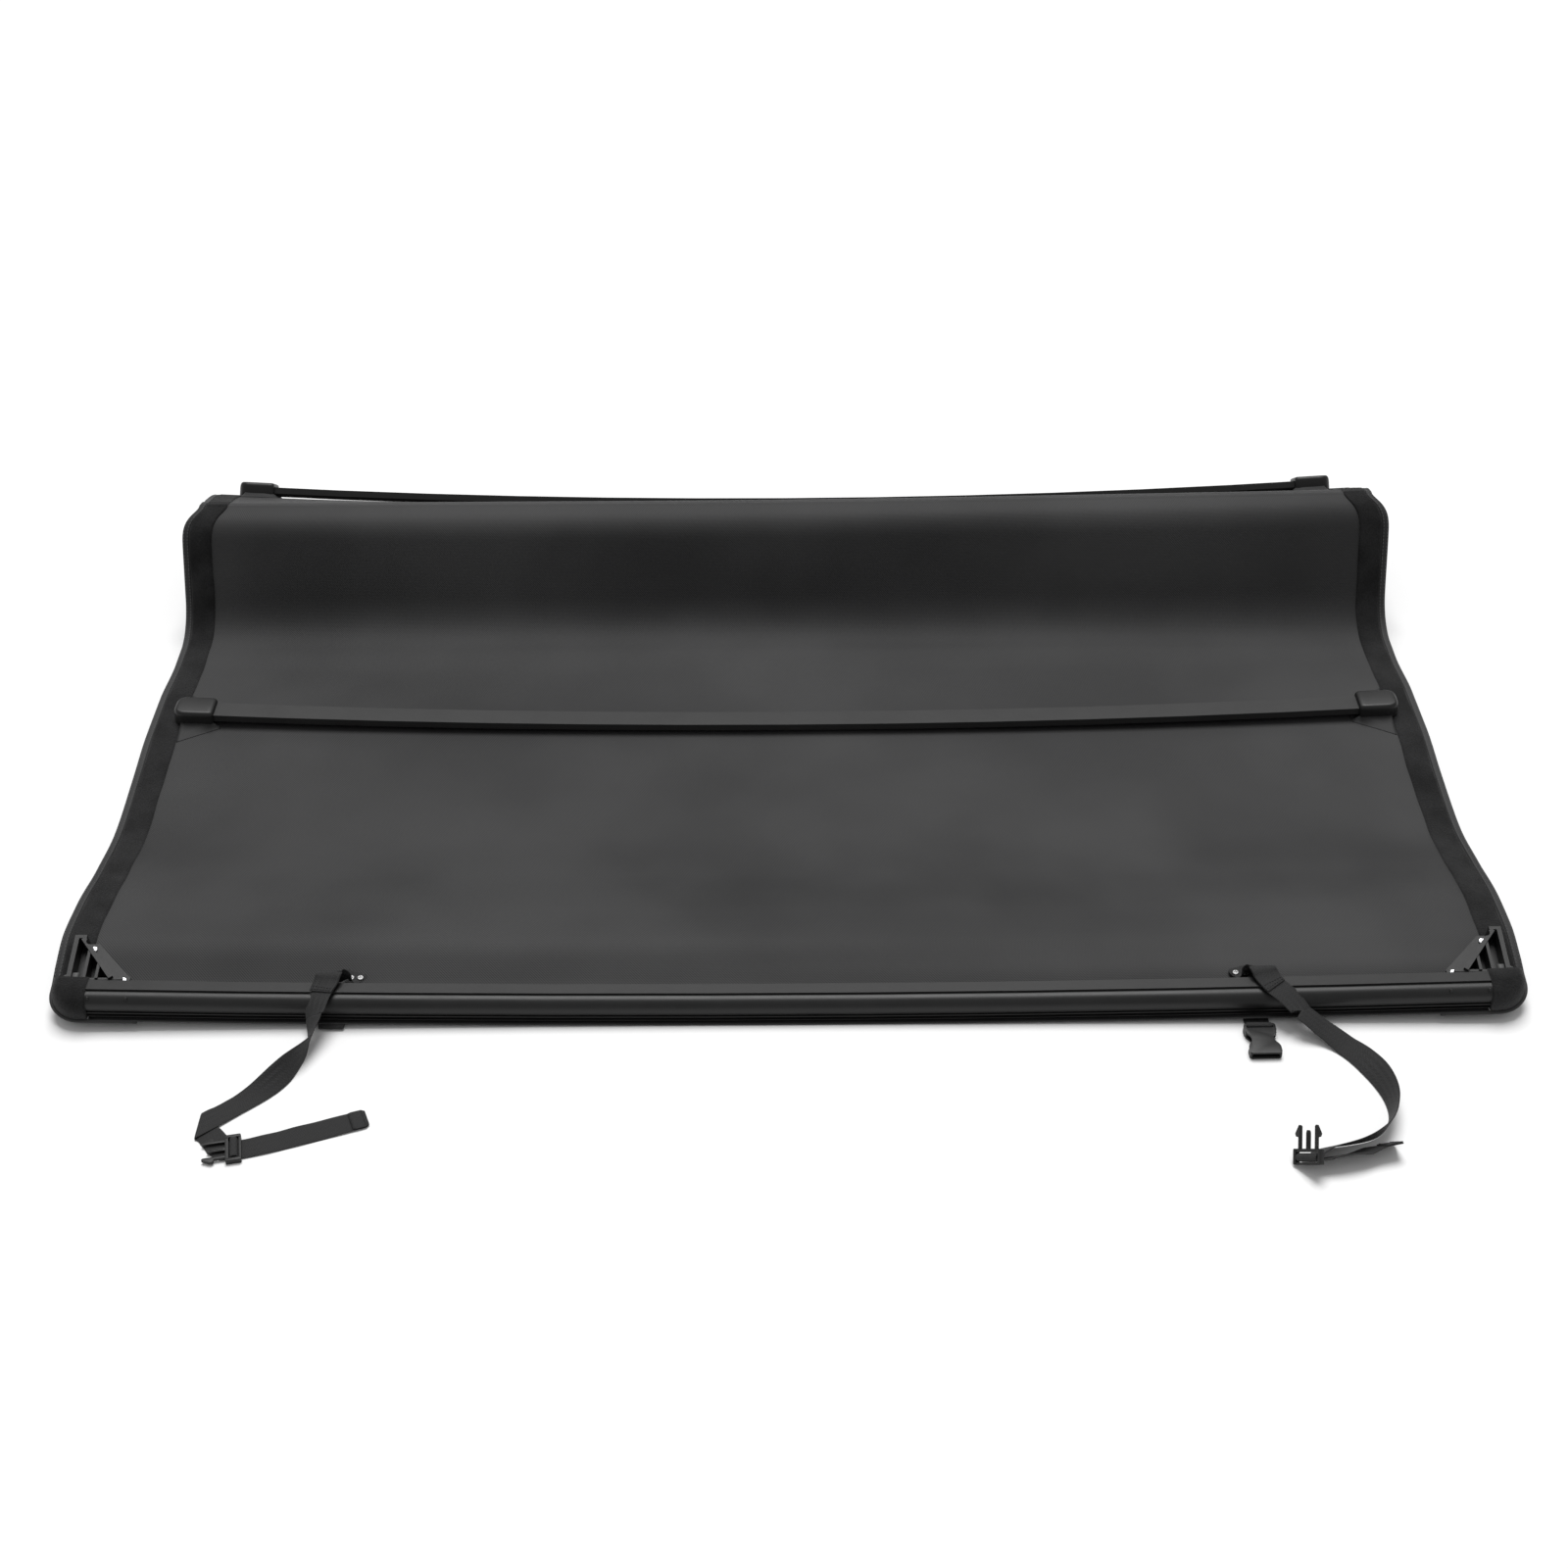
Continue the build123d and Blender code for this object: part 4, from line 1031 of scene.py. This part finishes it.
FEMALE_SHELL = [
    ([SHELL, SHELL_SLOT], 6.9, 9.0),
    ([SHELL, SHELL_SLOT], 0.0, 2.1),
    ([box_outline(0.4, -16.6, 14, 16.6, 1.5), SHELL_SLOT], 1.8, 7.2),
    (both_sides(SIDE_WALL), 1.8, 7.2),
    (both_sides(box_outline(21, 8.5, 25, 10.2)), 1.8, 7.2),
]
PRONG_BODIES = {"left": ("front", "back"), "right": ("low", "high")}
for side in ("left", "right"):
    male = add_moulding(f"{side}_male_frame", MALE_FRAME, MALE_PLACES[side])
    cord_pieces[side].append(fit(male, PLASTIC, "plastic", f"{side}_male", f"{side}_male_buckle"))
    for body, node, turn in zip(PRONG_BODIES[side], ("a", "b"), (1, -1)):
        outline = soft_outline([(x, turn * y) for x, y in PRONG][::turn], 0.7)
        prong = add_moulding(f"{side}_prong_{node}_arm", [([outline], 1.6, 5.0)], MALE_PLACES[side])
        fit(prong, PLASTIC, "plastic", f"{side}_prong_{body}", f"{side}_prong_{node}")
        cord_pieces[side].append(prong)
    female = add_moulding(f"{side}_female_shell", FEMALE_SHELL, FEMALE_PLACES[side])
    fit(female, PLASTIC, "plastic", f"{side}_female", f"{side}_female_buckle")

# Webbing of the female buckles: out from under the rail and over the shell's bar
LATCH_LINES = {
    "left": (-491.5, [(5, 5.2), (-3, 5.2), (-6.5, 4.6), (-7.6, 3.2), (-6.5, 1.8), (-3, 1.0), (20, 0.9),
                      (40, 1.2), (45.5, 4.5), (47.4, 8.6), (49.5, 9.9), (52.2, 9.4), (53.2, 7.4), (53.2, 4)]),
    "right": (503.0, [(6, 0.9), (-2, 0.9), (-7, 1.6), (-11.5, 4.8), (-13.4, 8.4), (-15.2, 9.9),
                      (-18.4, 9.5), (-19.5, 7.6), (-19.5, 4)]),
}
for side, (x, line) in LATCH_LINES.items():
    points = nurbs_points(f"{side}_latch_line", route(*[(x, y, z) for y, z in line]), 8)
    halves = np.tile([[0.0136, 0, 0]], (len(points), 1))
    band = add_ribbon(f"{side}_latch_band", points, halves)
    dress(band, WEBBING)
    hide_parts(f"{side}_latch_webbing")
    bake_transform(band)

# The free straps, each one length of webbing from the rail through its buckle to its tail: here their centre
# lines are only read.
for side in ("left", "right"):
    line = ribbons[side][2]

# -------------------------------------------------------- header corners and its wrap
FLAP_IN, FLAP_OUT = 0.7535, 0.7958
FLAP_FRONT, FLAP_BACK, FLAP_ROUND = -0.0018, 0.0350, 0.033
FLAP_TOP, FLAP_BASE, FLAP_SHOULDER, FLAP_TUCK = 0.0326, 0.0010, 0.012, 0.002
# The flap's outline seen along the rail: share of its depth, and of its height
FLAP_PROFILE = [(0.0, 0.0), (0.012, 0.40), (0.035, 0.56), (0.08, 0.72), (0.15, 0.82), (0.25, 0.89),
                (0.40, 0.955), (0.55, 0.985), (0.75, 1.0), (0.93, 0.985), (1.0, 0.90)]
HEM_HALF, HEM_RISE, HEM_ROUND = 0.0024, 0.0017, 0.036


def mirrored(rings, side):
    """Rings for the right side, or turned over for the left."""
    rings = np.array(rings)
    if side < 0:
        rings = (rings * [-1, 1, 1])[::-1]
    return rings


def flap_rings():
    """Loop pile over the rail's end: a pillow whose front outer corner is round."""
    along_rail = np.linspace(FLAP_IN, FLAP_OUT - FLAP_SHOULDER, 16)
    round_end = FLAP_OUT - FLAP_SHOULDER * (1 - np.sin(np.linspace(0.1, math.pi / 2, 14)))
    rings = []
    for x in np.concatenate([along_rail, round_end]):
        inside = np.clip(x - (FLAP_OUT - FLAP_ROUND), 0, FLAP_ROUND)
        front = FLAP_FRONT + FLAP_ROUND - math.sqrt(max(FLAP_ROUND ** 2 - inside ** 2, 0.0))
        deep = FLAP_BACK - min(front, FLAP_BACK - 0.004)
        front = FLAP_BACK - deep
        shoulder = math.sqrt(max(1 - (1 - min((FLAP_OUT - x) / FLAP_SHOULDER, 1)) ** 2, 0.0))
        tucked = 0.45 * (1 - math.sqrt(min((x - FLAP_IN) / FLAP_TUCK, 1.0)))
        base = FLAP_BASE + rail_crown(x)
        high = (FLAP_TOP - FLAP_BASE) * (0.30 + 0.70 * shoulder)
        ring = []
        for share, rise in FLAP_PROFILE:
            swell = math.sin(math.pi * share)
            sag = 0.0010 * math.sin(70 * x + 9 * share) * swell
            ring.append((x, front + deep * share, base + high * rise - tucked * FLAP_TUCK * swell + sag))
        ring += [(x, FLAP_BACK + 0.0008, base + high * 0.5), (x, FLAP_BACK, base)]
        ring += [(x, front + deep * t, base) for t in (0.66, 0.33)]
        rings.append([(x, Y_FRONT + y, z) for x, y, z in ring])
    return rings


def corner_hem_rings():
    """Rolled hem round the corner, from the side edge to the front edge."""
    out, front = HALF - HEM_HALF, -HEM_HALF
    plan = [(out, 0.062), (out, 0.046)]
    plan += [(out - HEM_ROUND * (1 - math.cos(a)), front + HEM_ROUND * (1 - math.sin(a)))
             for a in np.linspace(0, math.pi / 2, 25)]
    plan += [(x, front) for x in np.linspace(0.750, 0.700, 8)]
    x, y = np.array(plan).T
    level = np.interp(y, [front, 0.012, 0.031, 0.062], [0.0006, 0.0045, 0.0085, 0.0155])
    flat = np.stack([x, Y_FRONT + y, 0 * x], -1)
    outwards = unit(np.cross(unit(np.gradient(flat, axis=0)), (0, 0, 1)))
    middle = flat + np.stack([0 * x, 0 * x, level + RAIL_CROWN * (x / HALF) ** 2], -1)
    turns = np.linspace(0, 2 * math.pi, 13)[:-1]
    return np.stack([middle + outwards * HEM_HALF * math.cos(t) + np.array([0, 0, HEM_RISE * math.sin(t)])
                     for t in turns], 1)


for side_name, side in SIDES:
    flap = add_tube(f"header_flap_{side_name}", mirrored(flap_rings(), side)[:, ::-1])
    fit(flap, PILE, "loop_fabric", "front_panel", f"header_end_flap_{side_name}")
    # Light tab of bare vinyl at the flap's back edge
    tab_x = np.linspace(0.766, 0.7955, 9)
    tab_drop = 0.010 * smooth_step(tab_x, 0.772, 0.7975)
    tab_line = np.stack([tab_x, np.full(9, Y_FRONT + 0.0375), 0.0405 - tab_drop], -1) * [side, 1, 1]
    tab = add_ribbon(f"header_tab_{side_name}", tab_line, np.tile([[0, 0.0040, 0.0012]], (9, 1)), 0.0016)
    fit(tab, TAB_VINYL, "vinyl", "front_panel")
    hem = add_tube(f"corner_hem_{side_name}", mirrored(corner_hem_rings(), side))
    fit(hem, VINYL, "vinyl", "front_panel")

# The sheet goes on under the rail and ends in a bead along the rail's front.
wrap_x = np.linspace(-0.752, 0.752, 121)
WRAP_TOP = [(-0.0036, 0.0008), (-0.0033, 0.0015), (-0.0024, 0.0021), (-0.0014, 0.0016), (0.0, 0.0011),
            (0.012, 0.0011), (0.0285, 0.0011), (0.0302, 0.0030), (0.0308, 0.0070), (0.0314, 0.0089)]
WRAP_LOW = [(-0.0036, 0.0007), (-0.0030, 0.0003), (-0.0020, 0.0002), (-0.0010, 0.0002), (0.001, 0.0002),
            (0.012, 0.0002), (0.0292, 0.0002), (0.0312, 0.0020), (0.0318, 0.0060), (0.0324, 0.0072)]


def wrap_grid(line):
    y, z = np.array(line).T
    grid_x, grid_y = np.meshgrid(wrap_x, y)
    return np.stack([grid_x, Y_FRONT + grid_y, z[:, None] + rail_crown(grid_x)], -1)


wrap = add_plate("header_wrap", wrap_grid(WRAP_TOP), wrap_grid(WRAP_LOW), wrap_x,
                 [y for y, _ in WRAP_TOP])
fit(wrap, VINYL, "vinyl", "front_panel")

# ------------------------------------------------------------------ bow caps, gussets
CAP_LONG, CAP_HALF, CAP_HIGH = 0.050, 0.019, 0.020
CAP_PLAN_ROUND, CAP_TOP_ROUND, CAP_LIP, CAP_SWELL = 0.014, 0.006, 0.0016, 0.0006
GUSSET_IN, GUSSET_HALF, GUSSET_SPREAD, GUSSET_HIGH = 0.712, 0.020, 0.032, 0.0070
BOW_PLACES = {
    "bow_1": (Matrix.Translation((0, Y_FRONT + BOW_1_AT, 0.001)), "front_panel",
              from_front(BOW_1_AT)),
    "bow_2": (Matrix.Translation((0, *CREST.end)) @ Matrix.Rotation(CREST.out, 4, "X")
              @ Matrix.Translation((0, BOW_2_RUN, 0)), "top_panel", CREST.s_end + BOW_2_RUN),
}
CAP_MATRIX = (Matrix.Translation((0.745, 0, 0.0282)) @ Matrix.Rotation(math.radians(-3.168), 4, "Y")
              @ Matrix.Translation((0.025, 0, -0.008)))


def section(x, half, low, high, radius, foot):
    """One ring of a box with rounded upper and lower edges, at a place along it."""
    ring = []
    for y_sign, z_sign, size, first in ((1, -1, foot, -90), (1, 1, radius, 0),
                                        (-1, 1, radius, 90), (-1, -1, foot, 180)):
        size = min(size, half * 0.9, (high - low) * 0.45)
        middle_y = y_sign * (half - size)
        middle_z = high - size if z_sign > 0 else low + size
        for k in range(6):
            angle = math.radians(first + 18 * k)
            ring.append((x, middle_y + size * math.cos(angle), middle_z + size * math.sin(angle)))
    return ring


def quarter(reach, radius):
    """How far a rounded corner has fallen back, reach beyond its start."""
    return radius - math.sqrt(max(radius ** 2 - max(reach, 0) ** 2, 0))


def cap_rings():
    """From the socket's end wall out of its mouth, then along the outside to the round end."""
    rings = [section(x, 0.0143, 0.0017, 0.0143, 0.0008, 0.0035) for x in (-0.018, -0.0485)]
    rings.append(section(-0.0497, 0.0148, 0.0012, 0.0148, 0.0010, 0.0035))
    rings.append(section(-CAP_LONG, 0.0158, 0.0006, 0.0162, 0.0020, 0.0010))
    lip, side = [-0.0497, -0.0488, -0.0465], np.linspace(-0.042, -CAP_PLAN_ROUND, 6)
    round_end = -CAP_PLAN_ROUND * (1 - np.sin(np.linspace(0.1, math.pi / 2, 14)))
    for x in np.concatenate([lip, side, round_end]):
        start = CAP_LIP * math.sqrt(max(1 - min((x + CAP_LONG) / CAP_LIP, 1), 0.0))
        swell = CAP_SWELL * math.sin(math.pi * (x + CAP_LONG) / CAP_LONG)
        half = CAP_HALF - quarter(x + CAP_PLAN_ROUND, CAP_PLAN_ROUND) + swell - start
        level = CAP_HIGH - quarter(x + CAP_TOP_ROUND, CAP_TOP_ROUND) - start
        rings.append(section(x, max(half, 0.002), 0, level, 0.0055, 0.0008))
    return rings


def add_gusset(name, side, middle_s):
    """A patch that stands up against the cap's sides and runs down to the sheet."""
    across = np.linspace(GUSSET_IN, STRIP_IN - 0.0004, 16)
    share = np.concatenate([np.linspace(-1, -0.02, 22), [0], np.linspace(0.02, 1, 22)])
    reach = GUSSET_HALF + GUSSET_SPREAD * (across - GUSSET_IN) / (STRIP_IN - GUSSET_IN)
    grid_x, grid_share = np.meshgrid(across, share)
    distance = grid_share * reach
    slope = np.clip((np.abs(distance) - 0.017) / (reach - 0.017), 0, 1)
    tent = GUSSET_HIGH * (1 - slope) ** 1.6 * smooth_step(np.abs(distance), 0.012, 0.0175)
    tent = tent * smooth_step(grid_x, GUSSET_IN, GUSSET_IN + 0.010) + SHEET_UP + 0.0007
    tent += 0.0006 * np.sin(grid_x * 160 + grid_share * 5) * slope * (1 - slope) * 4
    upper = surface(side * grid_x, middle_s + distance, tent)
    lower = surface(side * grid_x, middle_s + distance, tent - 0.0006)
    if side < 0:
        upper, lower, across = upper[:, ::-1], lower[:, ::-1], across[::-1]
    return add_plate(name, upper, lower, across, share * 0.05)


for bow, (place, body, middle_s) in BOW_PLACES.items():
    for side_name, side in SIDES:
        points = [[place @ (CAP_MATRIX @ Vector(p)) for p in ring] for ring in cap_rings()]
        cap = add_tube(f"{bow}_end_cap_{side_name}", mirrored(points, side))
        cap.data.set_sharp_from_angle(angle=math.radians(50))
        fit(cap, PLASTIC, "plastic", body, f"{bow}_cap_{side_name}")
        gusset = add_gusset(f"{bow}_gusset_patch_{side_name}", side, middle_s)
        fit(gusset, VINYL, "vinyl", body, f"{bow}_gusset_{side_name}")

# ------------------------------------------------------------------- carried-over CAD
# Words in a node's name and its finish; the last row that fits counts.
FINISHES = [
    (("header_rail",), PAINT),
    (("_tube", "tail_bar"), BOW_PAINT),
    (("cap_", "bracket", "buckle", "prong", "plug"), PLASTIC),
    (("strap", "webbing"), WEBBING),
    (("gusset",), VINYL),
    (("flap",), PILE),
    (("seal",), RUBBER),
    (("screws",), STEEL),
    # The anchor screws take the steel darkened as painted shade.
    (("anchor_screws",), PAINTED_SHADE_STEEL),
    (("rivets",), PAINT),
]
for name, node in NODES.items():
    for words, material in FINISHES:
        if any(word in name for word in words):
            finish = material
    if not node.hide_render:
        dress(node, finish)

# --------------------------------------------------------------------- floor and light
FLOOR_SIZE = 60.0
floor = add_mesh("floor", [(x * FLOOR_SIZE, y * FLOOR_SIZE, -0.0002) for x, y in
                           ((-0.5, -0.5), (0.5, -0.5), (0.5, 0.5), (-0.5, 0.5))], [[0, 1, 2, 3]])
dress(floor, Finish("studio_floor").made({
    "Base Color": (0.93, 0.93, 0.93, 1), "Roughness": 1.0, "Specular IOR Level": 0.0}))


def add_sun(name, strength, elevation, azimuth, angle):
    """A soft lamp from a direction: azimuth 0 is from behind the cover, over the fold."""
    data = bpy.data.lights.new(name, "SUN")
    data.energy, data.angle = strength, math.radians(angle)
    lamp = add_object(name, data)
    lamp.rotation_mode = "XYZ"
    lamp.rotation_euler = (math.radians(elevation - 90), 0, math.radians(azimuth))


add_sun("key", strength=2.6, elevation=66, azimuth=0, angle=34)
world = bpy.data.worlds.new("studio")
bpy.context.scene.world = world
world.use_nodes = True
background = world.node_tree.nodes["Background"].inputs
background["Color"].default_value = (1, 1, 1, 1)
background["Strength"].default_value = 0.42
